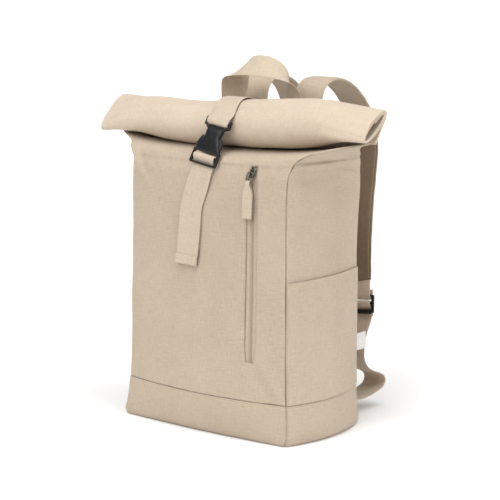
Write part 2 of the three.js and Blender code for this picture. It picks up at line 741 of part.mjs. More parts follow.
function femaleGeometry() {
  const neck = buckleNeck / 2;
  const half = buckleFootWidth / 2;
  const top = neckAt + seam;
  const length = bodyEnd - top;
  const body = extruded(flipped(both([
    [neck, top], [neck * 0.97, top + length * 0.2], [neck * 1.2, top + length * 0.5],
    [half * 0.9, top + length * 0.85], [half * 0.94, bodyEnd],
  ])), buckleDepth);
  const room = tongueLength + 2 * seam;
  const cavity = extruded(flipped(rectangle(
    -tongueWidth / 2 - seam, tongueWidth / 2 + seam, top - 1, top + room,
  )), tongueDepth + 2 * seam);
  const frame = plateSolid(
    flipped(both([
      [half * 0.94, bodyEnd - 2], [half, bodyEnd + buckleBar],
      [half, buckleLength - 2], [half - 2, buckleLength],
    ])),
    [
      flipped(rectangle(-slotHalf, slotHalf, bodyEnd, wrapBarAt - buckleBar / 2)),
      flipped(rectangle(-slotHalf, slotHalf, wrapBarAt + buckleBar / 2, footBarEdge)),
    ],
    frameDepth,
  );
  return fromManifold(toManifold(body).subtract(toManifold(cavity)).add(frame));
}

addPiece('buckle_female', femaleGeometry(), buckleBlack, buckleFrame.group);

// Closure strap, lower half: sewn to the front panel, up round the buckle's bar, and down
// again as the tail that hangs in front of it

const acrossX = [1, 0, 0];
const tailX = (z) => (z > tailBendZ
  ? mix(tailBendX, buckleFootX, (z - tailBendZ) / (buckleFootZ - tailBendZ))
  : mix(tailEndX, tailBendX, (z - tailEndZ) / (tailBendZ - tailEndZ)));

function frontStop(z, layers, thick) {
  const x = tailX(z);
  const y = frontFace(x, z) - touch - layers * (webCloth + touch) - thick / 2;
  return { at: [x, y, z], across: acrossX, width: webWidth, thick };
}

function lowerStrap() {
  const wrapped = wrapRoute(buckleBar, frameDepth, footSlot, buckleBar)
    .map(([s, n]) => [s + wrapBarAt, n])
    .map(stopIn(buckleFrame, webWidth, webCloth));
  const hemZ = tailEndZ + tailHem;
  return [
    ...[0, 0.25, 0.5, 0.7, 0.85].map((share) => (
      frontStop(mix(anchorEndZ, buckleFootZ, share), 0, webCloth)
    )),
    ...wrapped,
    ...[tailBendZ, mix(hemZ, tailBendZ, 0.6), mix(hemZ, tailBendZ, 0.3), hemZ + seam]
      .map((z) => frontStop(z, 1, webCloth)),
    ...[hemZ, tailEndZ].map((z) => frontStop(z, hemShare, 2 * webCloth)),
  ];
}

addPiece('closure_strap_lower', stripSolid(lowerStrap()), strapWebbing);

// Closure strap, upper half: sewn to the back panel, over the roll and round the buckle's top bar

// Over the roll, each row is one stop: its place on the roll in turns, and how far the strap has
// run aside to the buckle, as a share.
const overRows = [
  { turn: 0.27, aside: 0.175 },
  { turn: 0.34, aside: 0.35 },
  { turn: 0.41, aside: 0.525 },
  { turn: 0.48, aside: 0.7 },
  { turn: 0.55, aside: 0.875 },
  { turn: 0.6, aside: 1 },
];
const easeOff = 2; // the strap comes down a little outside the buckle's middle

function upperStrap() {
  const shoulder = panelLevels.slice(slopeRow, slopeRow + 3);
  const stopAt = (y, z) => ({ at: [0, y, z], across: acrossX, width: webWidth, thick: webCloth });
  const foot = [stopAt(backFace(0, upperFootZ) + touch + webCloth / 2, upperFootZ)];
  for (const level of shoulder) {
    foot.push(stopAt(backFace(0, level.z) + touch + webCloth, level.z + webCloth));
  }
  const over = overRows.map(({ turn, aside }) => {
    const [, y, z] = rollPoint(rollRow, turn, -rollClear - webCloth / 2 - rollPitch * turn);
    const x = mix(0, buckleTopX + easeOff, aside);
    return { at: [x, y, z], across: acrossX, width: webWidth, thick: webCloth };
  });
  const radius = Math.hypot(buckleBar / 2, frameDepth / 2) + seam + webCloth / 2;
  const corner = radius * Math.SQRT1_2;
  const round = [
    [maleBarAt - 2.5 * buckleBar, radius - webCloth * 0.75], [maleBarAt - buckleBar, radius],
    [maleBarAt, radius],
    [maleBarAt + corner, corner], [maleBarAt + radius, 0], [maleBarAt + corner, -corner],
    [maleBarAt, -radius], [maleBarAt - 1.7 * buckleBar, -radius - seam],
  ].map(stopIn(buckleFrame, webWidth, webCloth));
  return [...foot, ...over, ...round];
}

addPiece('closure_strap_upper', stripSolid(upperStrap()), strapWebbing);

// Grab handle: one twisted ribbon, with a flap sewn on the back panel's slope at each foot, legs
// whose width runs along x and an arch whose width has turned to run from front to back.
// Each row is one stop: out as a share of half the span, up as a share of the height from the
// foot to the top, lean as a share of the arch's lean to the front, and in degrees turn, which
// swings the width from x to y, and tilt, which lifts its back edge.

const handleRows = [
  { out: 1.0, up: 0.2, lean: 0, turn: 4, tilt: 0 },
  { out: 1.0, up: 0.4, lean: 0, turn: 9, tilt: 0 },
  { out: 1.0, up: 0.57, lean: 0, turn: 14, tilt: 0 },
  { out: 0.98, up: 0.69, lean: 0.04, turn: 24, tilt: 3 },
  { out: 0.91, up: 0.79, lean: 0.14, turn: 42, tilt: 9 },
  { out: 0.78, up: 0.88, lean: 0.36, turn: 63, tilt: 20 },
  { out: 0.57, up: 0.95, lean: 0.64, turn: 79, tilt: 32 },
  { out: 0.3, up: 0.99, lean: 0.9, turn: 88, tilt: 41 },
  { out: 0, up: 1, lean: 1, turn: 90, tilt: 44 },
];

// Where the flap bends up into the leg: how far behind the leg, and how far over the foot.
const footBend = [
  { behind: 2.2, over: 0.5 },
  { behind: 0.4, over: 2.4 },
  { behind: 0, over: 6 },
];

// The place on one level of the back panel that lies at x.
function slopePoint(level, x) {
  const across = x / level.rightBack;
  return { y: level.back + level.puffBack * arch(across), z: level.z + liftAt(level, across) };
}

function slopeHeight(x, y) {
  const points = panelLevels.slice(slopeRow).map((level) => slopePoint(level, x));
  const next = points.findIndex((point) => point.y < y);
  const a = points[next - 1];
  const b = points[next];
  return mix(a.z, b.z, (a.y - y) / (a.y - b.y));
}

function handleStops() {
  const lift = flapClear + webCloth / 2;
  const foot = slopeHeight(handleHalf, handleY) + lift;
  const stopAt = (out, y, z, across) => (
    { at: [-out * handleHalf, y, z], across, width: webWidth, thick: webCloth }
  );
  const onSlope = (y) => {
    const outer = slopeHeight(handleHalf + webWidth / 2, y);
    const inner = slopeHeight(handleHalf - webWidth / 2, y);
    return stopAt(1, y, (outer + inner) / 2 + lift, [webWidth, 0, inner - outer]);
  };
  const edges = panelLevels.slice(slopeRow + 2, slopeRow + 4)
    .map((level) => slopePoint(level, handleHalf).y);
  const left = [handleY + handleFlap, ...edges].map(onSlope);
  for (const { behind, over } of footBend) {
    left.push(stopAt(1, handleY + behind, foot + over, acrossX));
  }
  for (const row of handleRows) {
    const turn = row.turn * THREE.MathUtils.DEG2RAD;
    const tilt = row.tilt * THREE.MathUtils.DEG2RAD;
    const across = [
      Math.cos(turn) * Math.cos(tilt), Math.sin(turn) * Math.cos(tilt), Math.sin(tilt),
    ];
    left.push(stopAt(
      row.out, handleY - row.lean * handleLean, mix(foot, handleTop, row.up), across,
    ));
  }
  const right = [...left].reverse().slice(1).map((stop) => ({
    ...stop,
    at: [-stop.at[0], stop.at[1], stop.at[2]],
    across: [-stop.across[0], stop.across[1], stop.across[2]],
  }));
  return [...left, ...right];
}

addPiece('handle', stripSolid(handleStops()), strapWebbing);

// Shoulder straps, adjusters and lower webbing, one of each at both sides.
// Each strap row is one stop: out as a share of the splay, off as a share of the reach behind
// the back panel, up as a share of the rise, or of the drop where it is negative, and wide and
// thick as shares of the padded strap.

const strapRows = [
  { out: 0, off: 0.0, up: 0.0, wide: 1, thick: 1 },
  { out: 0, off: 0.0, up: 0.1, wide: 1, thick: 1 },
  { out: 0, off: 0.005, up: 0.4, wide: 1, thick: 1 },
  { out: 0, off: 0.0, up: 0.64, wide: 1, thick: 1 },
  { out: 0, off: 0.01, up: 0.79, wide: 1, thick: 1 },
  { out: 0.01, off: 0.06, up: 0.9, wide: 1, thick: 1 },
  { out: 0.02, off: 0.155, up: 0.97, wide: 1, thick: 1 },
  { out: 0.03, off: 0.29, up: 1.0, wide: 1, thick: 1 },
  { out: 0.04, off: 0.45, up: 0.985, wide: 1, thick: 1 },
  { out: 0.06, off: 0.62, up: 0.92, wide: 1, thick: 1 },
  { out: 0.09, off: 0.78, up: 0.81, wide: 1, thick: 1 },
  { out: 0.14, off: 0.89, up: 0.69, wide: 1, thick: 1 },
  { out: 0.2, off: 0.965, up: 0.56, wide: 1, thick: 1 },
  { out: 0.28, off: 1.0, up: 0.38, wide: 1, thick: 1 },
  { out: 0.37, off: 0.97, up: 0.14, wide: 1, thick: 1 },
  { out: 0.46, off: 0.87, up: -0.14, wide: 1, thick: 1 },
  { out: 0.55, off: 0.77, up: -0.33, wide: 1, thick: 1 },
  { out: 0.7, off: 0.64, up: -0.62, wide: 0.98, thick: 1 },
  { out: 0.83, off: 0.56, up: -0.85, wide: 0.93, thick: 1 },
  { out: 0.95, off: 0.515, up: -0.98, wide: 0.83, thick: 0.75 },
];

const lockTop = new THREE.Vector3(lockX, lockY, lockZ);
const lockHang = new THREE.Vector3(0.1, -0.16, -1); // which way the adjuster hangs
const lockFrame = faceFrame(lockTop, lockTop.clone().add(lockHang));
const strapBarAt = -lockBar - lockSlotTop;
const strapEndRun = 9; // how far the strap's thin end runs on both sides of its bar
const lockEnd = lockBar / 2 + lockSlotFoot + lockFoot;

function strapStops() {
  const backLevel = panelLevels[slopeRow - 1];
  const backY = backLevel.back + backLevel.puffBack + touch + strapPad / 2;
  const stops = strapRows.map((row) => ({
    at: [
      strapX + row.out * strapSplay,
      backY + row.off * strapReach,
      strapAnchorZ + row.up * (row.up > 0 ? strapRise : strapDrop),
    ],
    across: acrossX,
    width: row.wide * strapWidth,
    thick: row.thick * strapPad,
  }));
  const half = webCloth / 2;
  const radius = Math.hypot(lockBar / 2, lockDepth / 2) + seam + half;
  const corner = radius * Math.SQRT1_2;
  const end = [
    [strapBarAt - strapEndRun, radius - webCloth / 4], [strapBarAt - lockBar, radius + webCloth / 16],
    [strapBarAt, radius],
    [strapBarAt + corner, corner], [strapBarAt + radius, 0], [strapBarAt + corner, -corner],
    [strapBarAt, -radius], [strapBarAt - strapEndRun, -radius - seam],
  ].map(stopIn(lockFrame, webWidth, webCloth));
  return [...stops, ...end];
}

function lockSolid() {
  const half = lockWidth / 2;
  const top = strapBarAt - lockBar / 2;
  return plateSolid(
    flipped(both([[half - 2, top], [half, top + 3], [half, lockEnd - 3], [half - 3, lockEnd]])),
    [
      flipped(rectangle(-slotHalf, slotHalf, strapBarAt + lockBar / 2, -lockBar / 2)),
      flipped(rectangle(-slotHalf, slotHalf, lockBar / 2, lockBar / 2 + lockSlotFoot)),
    ],
    lockDepth,
  );
}

// The lower webbing, from its tail at the adjuster down to the fold and in to the bottom band:
// side as a share of the way from the adjuster to the band's corner, off as a share of the
// reach, and up as a share of the adjuster's height.
const wingRows = [
  { side: 0.1, off: 0.43, up: 0.7 },
  { side: 0.2, off: 0.41, up: 0.59 },
  { side: 0.3, off: 0.43, up: 0.5 },
  { side: 0.4, off: 0.53, up: 0.42 },
  { side: 0.45, off: 0.69, up: 0.365 },
  { side: 0.5, off: 0.86, up: 0.325 },
  { side: 0.5, off: 0.97, up: 0.285 },
  { side: 0.55, off: 1.0, up: 0.235 },
  { side: 0.6, off: 0.95, up: 0.19 },
  { side: 0.7, off: 0.82, up: 0.16 },
  { side: 0.8, off: 0.62, up: 0.137 },
  { side: 0.9, off: 0.42, up: 0.13 },
  { side: 0.95, off: 0.2, up: 0.15 },
];

function wingStops() {
  const wrapped = wrapRoute(lockBar, lockDepth, lockSlotFoot, lockFoot)
    .map(stopIn(lockFrame, webWidth, webCloth));
  const level = bandLevels[2];
  const bandFace = level.back + level.puffBack * arch(wingFootX / level.rightBack);
  const bandY = bandFace + touch + webCloth / 2;
  const stop = (x, y, z) => ({ at: [x, y, z], across: acrossX, width: webWidth, thick: webCloth });
  const route = wingRows.map((row) => (
    stop(mix(lockX, wingFootX, row.side), bandY + row.off * wingReach, row.up * lockZ)
  ));
  return [...wrapped, ...route, stop(wingFootX, bandY + 0.4, wingFootZ)];
}

function mirrored(geometry) {
  const copy = geometry.clone();
  copy.scale(-1, 1, 1);
  const turned = [];
  for (let i = 0; i < copy.index.count; i += 3) {
    turned.push(copy.index.getX(i), copy.index.getX(i + 2), copy.index.getX(i + 1));
  }
  copy.setIndex(turned);
  return copy;
}

lockFrame.group.updateMatrixWorld(true);
const lockRight = fromManifold(lockSolid()).applyMatrix4(lockFrame.group.matrixWorld);
const strapRight = stripSolid(strapStops());
const wingRight = stripSolid(wingStops());
addPiece('shoulder_strap_right', strapRight, bodyCanvas);
addPiece('shoulder_strap_left', mirrored(strapRight), bodyCanvas);
addPiece('strap_adjuster_right', lockRight, buckleBlack);
addPiece('strap_adjuster_left', mirrored(lockRight), buckleBlack);
addPiece('lower_webbing_right', wingRight, strapWebbing);
addPiece('lower_webbing_left', mirrored(wingRight), strapWebbing);

// Blank folded label in the seam at the back right corner

function labelGeometry() {
  const level = levelAt(labelZ + labelHeight / 2);
  const label = new THREE.BoxGeometry(labelCloth, labelWidth, labelHeight);
  const x = level.rightBack - labelCloth / 2;
  const y = level.back + seam + touch + labelWidth / 2;
  label.translate(x, y, labelZ + labelHeight / 2);
  return label;
}

addPiece('side_label', labelGeometry(), labelWhite);

export default backpack;
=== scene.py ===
# %% [markdown]
# A canvas rolltop backpack
#
# The bag in this lesson is soft, but it has very few kinds of parts: sewn panels, a rolled mouth,
# flat webbing, moulded plastic and one metal zip slider. Each kind gets one way of making it.
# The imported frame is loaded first, because every soft piece has to sit in the space of its solid.

# %% Load the frame
import math

import bmesh
import bpy
import numpy as np
from mathutils import Matrix, Vector, noise


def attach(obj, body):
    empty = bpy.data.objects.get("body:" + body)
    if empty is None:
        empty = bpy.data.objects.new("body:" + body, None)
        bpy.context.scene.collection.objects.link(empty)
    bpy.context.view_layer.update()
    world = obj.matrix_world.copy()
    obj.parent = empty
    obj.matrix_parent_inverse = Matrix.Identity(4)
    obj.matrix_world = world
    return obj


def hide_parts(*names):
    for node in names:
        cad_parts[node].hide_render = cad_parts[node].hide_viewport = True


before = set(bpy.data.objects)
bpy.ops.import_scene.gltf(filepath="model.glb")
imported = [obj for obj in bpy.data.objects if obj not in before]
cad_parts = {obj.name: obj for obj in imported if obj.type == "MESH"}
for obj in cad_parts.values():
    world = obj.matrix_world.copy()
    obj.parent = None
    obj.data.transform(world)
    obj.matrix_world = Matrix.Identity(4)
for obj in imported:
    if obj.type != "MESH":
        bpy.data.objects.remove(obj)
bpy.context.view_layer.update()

MM = 0.001

# %% [markdown]
# The view
#
# A product photograph like this one is taken from a few metres away with a long lens, so the
# upright edges stay nearly parallel. The camera stands in front and to the right, a little above
# the bag. Its place comes from the three bottom corners that can be seen.

# %% Camera
VIEW_FROM = Vector((1599.3, -1944.2, 668.4)) * MM
VIEW_TURN = math.radians(39.14)
VIEW_DIP = math.radians(9.63)
LENS, SENSOR_WIDTH = 131.6, 36

camera_data = bpy.data.cameras.new("camera")
camera_data.lens = LENS
camera_data.sensor_width = SENSOR_WIDTH
camera = bpy.data.objects.new("camera", camera_data)
camera.location = VIEW_FROM
camera.rotation_euler = (math.pi / 2 - VIEW_DIP, 0, VIEW_TURN)
bpy.context.collection.objects.link(camera)
bpy.context.scene.camera = camera
bpy.context.scene.view_settings.view_transform = "Standard"
print("camera stands", round(VIEW_FROM.length, 2), "m from the bag's foot")

# %% [markdown]
# Floor and light
#
# The bag stands on a white sweep under very soft light. A dim even sky fills the shadows. The
# strongest of three wide soft suns stands high over the front and brightens the roll. The other
# two light the front and the right side about equally, so both faces get the same tone.

# %% Floor and lamps
FLOOR_SIZE, LAMP_DISTANCE, SKY = 80.0, 3, 0.24


def soft_sun(name, right_of_front, height, strength, softness):
    """A distant lamp; both angles and its softness are in degrees."""
    data = bpy.data.lights.new(name, "SUN")
    data.energy = strength
    data.angle = math.radians(softness)
    lamp = bpy.data.objects.new(name, data)
    turn, lift = math.radians(right_of_front), math.radians(height)
    toward = Vector((math.sin(turn) * math.cos(lift), -math.cos(turn) * math.cos(lift), math.sin(lift)))
    lamp.location = toward * LAMP_DISTANCE
    lamp.rotation_euler = toward.to_track_quat("Z", "Y").to_euler()
    bpy.context.collection.objects.link(lamp)
    print(name, "at", height, "degrees, strength", strength)


floor_mesh = bpy.data.meshes.new("floor")
edge = FLOOR_SIZE / 2
floor_mesh.from_pydata(
    [(-edge, -edge, 0), (edge, -edge, 0), (edge, edge, 0), (-edge, edge, 0)], [], [(0, 1, 2, 3)])
floor = bpy.data.objects.new("floor", floor_mesh)
bpy.context.collection.objects.link(floor)

soft_sun("front_sun", 2, 32, 1.0, 36)
soft_sun("side_sun", 96, 34, 1.55, 60)
soft_sun("top_sun", 0, 74, 2.3, 60)

world = bpy.data.worlds.new("studio")
world.use_nodes = True
sky = world.node_tree.nodes["Background"]
sky.inputs["Color"].default_value = (1, 1, 1, 1)
sky.inputs["Strength"].default_value = SKY
bpy.context.scene.world = world

# %% [markdown]
# Shader maths
#
# Cloth patterns are sums and products of waves and noise. Written as Python expressions they stay
# readable, so a small class wraps a socket and lets the usual operators add the Math nodes.


# %% A socket that can be added and multiplied
class Wire:
    def __init__(self, mat, socket):
        self.mat = mat
        self.socket = socket

    def maths(self, operation, *others):
        made = self.mat.node("ShaderNodeMath", {"operation": operation}, self, *others)
        return made["Value"]

    def __add__(self, other):
        return self.maths("ADD", other)

    def __radd__(self, other):
        return self.maths("ADD", other)

    def __sub__(self, other):
        return self.maths("SUBTRACT", other)

    def __rsub__(self, other):
        return (self * -1.0) + other

    def __mul__(self, other):
        return self.maths("MULTIPLY", other)

    def __rmul__(self, other):
        return self.maths("MULTIPLY", other)

    def sin(self):
        return self.maths("SINE")

    def clamped(self):
        return (self.maths("MAXIMUM", 0.0)).maths("MINIMUM", 1.0)


# %% [markdown]
# One finish at a time
#
# A finish holds one material. Every node of it comes from one method, which sets the node's kind
# first and then its sockets, from plain values or from wires. Colours are mixed by their own
# node, because a Math node would turn them grey.


# %% A material that builds its own nodes
class Finish:
    """One material, built node by node."""

    def __init__(self, name):
        self.material = bpy.data.materials.new(name)
        self.material.use_nodes = True
        self.tree = self.material.node_tree
        self.shader = self.tree.nodes["Principled BSDF"]

    def node(self, kind, settings=None, *inputs, **named):
        made = self.tree.nodes.new(kind)
        for key, value in (settings or {}).items():
            setattr(made, key, value)
        for place, value in list(enumerate(inputs)) + list(named.items()):
            self.feed(made.inputs[place], value)
        return {out.name: Wire(self, out) for out in made.outputs}

    def feed(self, socket, value):
        if isinstance(value, Wire):
            self.tree.links.new(value.socket, socket)
        else:
            socket.default_value = value

    def mix_colour(self, share, first, second):
        made = self.tree.nodes.new("ShaderNodeMix")
        made.data_type = "RGBA"
        for place, value in ((0, share), (6, first), (7, second)):
            self.feed(made.inputs[place], value)
        return Wire(self, made.outputs[2])

    def set(self, **sockets):
        for name, value in sockets.items():
            self.feed(self.shader.inputs[name.replace("_", " ")], value)
        return self

    def bump(self, height, distance, strength=1.0):
        made = self.node("ShaderNodeBump", None, Height=height, Distance=distance, Strength=strength)
        self.feed(self.shader.inputs["Normal"], made["Normal"])
        return self


def srgb(red, green, blue):
    def linear(value):
        share = value / 255
        return share / 12.92 if share <= 0.04045 else ((share + 0.055) / 1.055) ** 2.4
    return (linear(red), linear(green), linear(blue), 1.0)


# %% [markdown]
# Woven cloth
#
# The canvas is a plain weave of slubby cotton: threads of uneven thickness run both ways, so the
# eye sees short level and upright streaks rather than a grid. Every cloth piece carries a map
# in metres along its own width and length, and the threads follow that map round every bend.

# %% Canvas, webbing and thread
THREAD = 0.75 * MM
LEVEL_SLUBS, UPRIGHT_SLUBS, CLOUDS = (60.0, 900.0), (900.0, 75.0), (14.0, 9.0)
WOBBLE = 90.0


def woven(name, light, dark, thread=THREAD, rib=0.0, streak=0.8, rough=0.88):
    """A plain weave, or ribbed webbing where rib is above 0."""
    mat = Finish(name)
    cloth = mat.node("ShaderNodeUVMap", {"uv_map": "cloth"})["UV"]
    parts = mat.node("ShaderNodeSeparateXYZ", None, cloth)
    turn = 2 * math.pi / thread
    across, along = parts["X"], parts["Y"]
    wobble = mat.node("ShaderNodeTexNoise", {"noise_dimensions": "2D"},
                      Vector=cloth, Scale=WOBBLE, Detail=2.0)
    shift = (wobble["Fac"] - 0.5) * 2.0
    warp = ((across * turn) + shift).sin()
    weft = ((along * turn) + shift).sin()
    weave = warp * weft

    def slubs(scales):
        """Noise drawn out along one thread direction."""
        stretch = mat.node("ShaderNodeVectorMath", {"operation": "MULTIPLY"}, cloth, (*scales, 1.0))
        return mat.node("ShaderNodeTexNoise", {"noise_dimensions": "2D"}, Vector=stretch["Vector"],
                        Scale=1.0, Detail=3.0, Roughness=0.6)["Fac"]

    level = slubs(LEVEL_SLUBS)
    upright = slubs(UPRIGHT_SLUBS)
    clouds = slubs(CLOUDS)
    slub_tone = (level + upright - 1.0) * streak
    tone = slub_tone + (clouds - 0.5) * 0.34 + weave * 0.1 + 0.5
    height = weave * 0.35 + (level + upright) * 0.9
    if rib:
        ribs = (across * (2 * math.pi / (rib * MM))).sin()
        tone = tone + ribs * 0.08
        height = height + ribs * 0.8
    mat.set(Base_Color=mat.mix_colour(tone.clamped(), dark, light), Roughness=rough,
            Sheen_Weight=0.15, Sheen_Roughness=0.6)
    mat.bump(height, 0.25 * MM, 0.85)
    return mat.material


canvas_finish = woven("beige_canvas", srgb(200, 183, 162), srgb(166, 148, 126))
# The roll's canvas is a lighter copy of the body canvas: painted light, standing for the top light on the
# roll.
roll_painted_light_finish = woven("beige_canvas_roll_painted_light", srgb(216, 199, 178), srgb(187, 169, 147))
webbing_finish = woven("beige_webbing", srgb(211, 194, 173), srgb(179, 161, 138), thread=0.9 * MM, rib=2.1)
# A darker brown copy of the canvas: painted shade for the straps' inner faces, which the bag shades.
painted_shade_finish = woven("brown_strap_painted_shade", srgb(130, 110, 87), srgb(98, 79, 58))
tape_finish = woven("zip_tape_weave", srgb(205, 188, 166), srgb(172, 154, 131), thread=0.5 * MM)
label_finish = woven("blank_label", srgb(232, 230, 226), srgb(205, 202, 198), thread=0.35 * MM, rough=0.7)
print("cloth finishes", len(bpy.data.materials))

# %% [markdown]
# Moulded plastic and metal
#
# Everything that isn't woven lies between two tones of one noise, so one function makes it all.
# The buckle and the adjusters are black acetal with a fine satin grain. The zip slider is
# die-cast and plated dark, with bright worn places. The thread and the studio floor are plainer.


# %% Plastic and metal finishes
def noise_share(mat, scale, detail=2.0):
    """Noise from 0 to 1 that stays with the piece."""
    place = mat.node("ShaderNodeTexCoord")["Object"]
    return mat.node("ShaderNodeTexNoise", None, Vector=place, Scale=scale, Detail=detail)["Fac"]


def mottled(name, dark, light, scale, rough, relief=None, detail=2.0, rough_by=0.0, metallic=0.0):
    """A finish between two tones. Relief is the depth in mm and the strength of its grain."""
    mat = Finish(name)
    tone = noise_share(mat, scale, detail)
    roughness = tone * rough_by + rough if rough_by else rough
    mat.set(Base_Color=mat.mix_colour(tone, dark, light), Roughness=roughness, Metallic=metallic)
    return mat.bump(tone, relief[0] * MM, relief[1]) if relief else mat


plastic = mottled("black_plastic", srgb(16, 17, 18), srgb(28, 29, 31), 160.0, 0.36,
                  detail=4.0, rough_by=0.14)
plastic.set(Specular_IOR_Level=0.35).bump(noise_share(plastic, 2600.0), 0.03 * MM, 0.4)
plastic_finish = plastic.material
metal_finish = mottled("dark_plated_metal", srgb(58, 54, 50), srgb(150, 145, 138), 420.0, 0.16, (0.04, 0.5),
                       detail=4.0, rough_by=0.16, metallic=1.0).material
thread_finish = mottled(
    "beige_thread", srgb(190, 170, 142), srgb(222, 206, 182), 1500.0, 0.75, (0.08, 0.6)).material
sweep_paint = mottled("white_sweep", (0.92, 0.92, 0.92, 1), (0.94, 0.94, 0.94, 1), 3.0, 0.9)
floor_mesh.materials.append(sweep_paint.material)
print("finishes so far", len(bpy.data.materials))

# %% [markdown]
# Cloth surfaces as grids
#
# A sewn panel, a strap and a rolled band are all one rectangle of cloth that was bent. So each is
# made as a grid of points, rows by columns, and its map is measured along the grid itself. A
# Solidify modifier then gives the cloth its thickness.


# %% Grid helper
def cloth_map(points):
    """Metres along the columns and rows of a grid of points."""
    across = np.zeros(points.shape[:2])
    along = np.zeros(points.shape[:2])
    across[:, 1:] = np.cumsum(np.linalg.norm(np.diff(points, axis=1), axis=2), axis=1)
    along[1:, :] = np.cumsum(np.linalg.norm(np.diff(points, axis=0), axis=2), axis=0)
    middle = points.shape[1] // 2
    across -= across[:, middle:middle + 1]
    along[:] = along[:, middle:middle + 1]
    return np.stack([across, along], axis=2)


def add_object(name, mesh, finish, smooth=True):
    """A mesh as a piece of the bag, which rides on its one body."""
    piece = bpy.data.objects.new(name, mesh)
    bpy.context.collection.objects.link(piece)
    mesh.materials.append(finish)
    if smooth:
        mesh.shade_smooth()
    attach(piece, "root")
    return piece


def cloth_grid(name, points, finish, thick=0.0, wrap=False):
    """A grid of points as one piece of cloth. With wrap, its last column joins its first."""
    points = np.asarray(points, dtype=float)
    rows, columns = points.shape[:2]
    spans = columns if wrap else columns - 1
    index = np.arange(rows * columns).reshape(rows, columns)
    left = index[:-1, :spans]
    right = np.roll(index, -1, axis=1)[:-1, :spans]
    left_up = index[1:, :spans]
    right_up = np.roll(index, -1, axis=1)[1:, :spans]
    faces = np.stack([left, right, right_up, left_up], axis=2).reshape(-1, 4)
    mesh = bpy.data.meshes.new(name)
    mesh.from_pydata(points.reshape(-1, 3).tolist(), [], faces.tolist())
    layer = mesh.uv_layers.new(name="cloth")
    flat = cloth_map(points).reshape(-1, 2)
    loops = np.empty(len(mesh.loops), dtype=np.int32)
    mesh.loops.foreach_get("vertex_index", loops)
    layer.data.foreach_set("uv", flat[loops].ravel())
    piece = add_object(name, mesh, finish)
    if thick:
        thicken(piece, thick)
    return piece


# %% [markdown]
# Some grids are changed after they are made: thickened, opened by a slit, closed at their ends or
# joined where the last row meets the first.


# %% Changes to a grid
def thicken(piece, thick):
    shell = piece.modifiers.new("thickness", "SOLIDIFY")
    shell.thickness = thick
    shell.offset = -1


def edit_mesh(piece, change):
    """Lets a function change the piece's mesh, and returns what the function does."""
    mesh = bmesh.new()
    mesh.from_mesh(piece.data)
    mesh.verts.ensure_lookup_table()
    mesh.faces.ensure_lookup_table()
    result = change(mesh)
    mesh.to_mesh(piece.data)
    mesh.free()
    return result


def weld(piece):
    """Joins a grid whose last row lies on its first."""
    edit_mesh(piece, lambda mesh: bmesh.ops.remove_doubles(mesh, verts=mesh.verts, dist=0.005 * MM))


def points_at(x, y, z):
    """Points from three arrays, which are stretched to one shape."""
    return np.stack(np.broadcast_arrays(x, y, z), axis=-1)


# %% [markdown]
# Smooth curves and soft noise
#
# Tables of a few levels are easy to set against a photograph. A smooth curve runs through each
# column of such a table, and a slow noise keeps the cloth between them from looking pressed.


# %% Curves through a table, and noise
def curve_through(values, places, wanted):
    """A smooth curve through a table's values, read at the wanted places."""
    values = np.asarray(values, dtype=float)
    places = np.asarray(places, dtype=float)
    slopes = np.gradient(values, places)
    wanted = np.clip(wanted, places[0], places[-1])
    at = np.clip(np.searchsorted(places, wanted, side="right") - 1, 0, len(places) - 2)
    step = places[at + 1] - places[at]
    share = (wanted - places[at]) / step
    a = 2 * share**3 - 3 * share**2 + 1
    b = share**3 - 2 * share**2 + share
    c = -2 * share**3 + 3 * share**2
    d = share**3 - share**2
    return (a * values[at] + b * step * slopes[at] + c * values[at + 1] + d * step * slopes[at + 1])


def bell(distance, wide):
    """1 in the middle, falling off smoothly on both sides."""
    return np.exp(-(distance / wide) ** 2)


def ripple(points, scale, seed):
    """Smooth noise between -1 and 1 at many points, the same in every run."""
    flat = points.reshape(-1, 3)
    shift = Vector((seed * 7.3, seed * 3.1, seed * 5.7))
    read = [noise.noise(Vector(p) * scale + shift) for p in flat.tolist()]
    return np.array(read).reshape(points.shape[:-1])


# %% [markdown]
# The body's pattern
#
# The body is a tube of four sewn panels. It is boxy below and closes to a flat mouth at the top,
# so one table of levels describes it, like the pattern pieces of a real bag laid side by side.
# Smooth curves run between the levels. The band at the bottom has its own table. The left
# gusset puffs less just under the roll, where the photograph shows a straight edge.

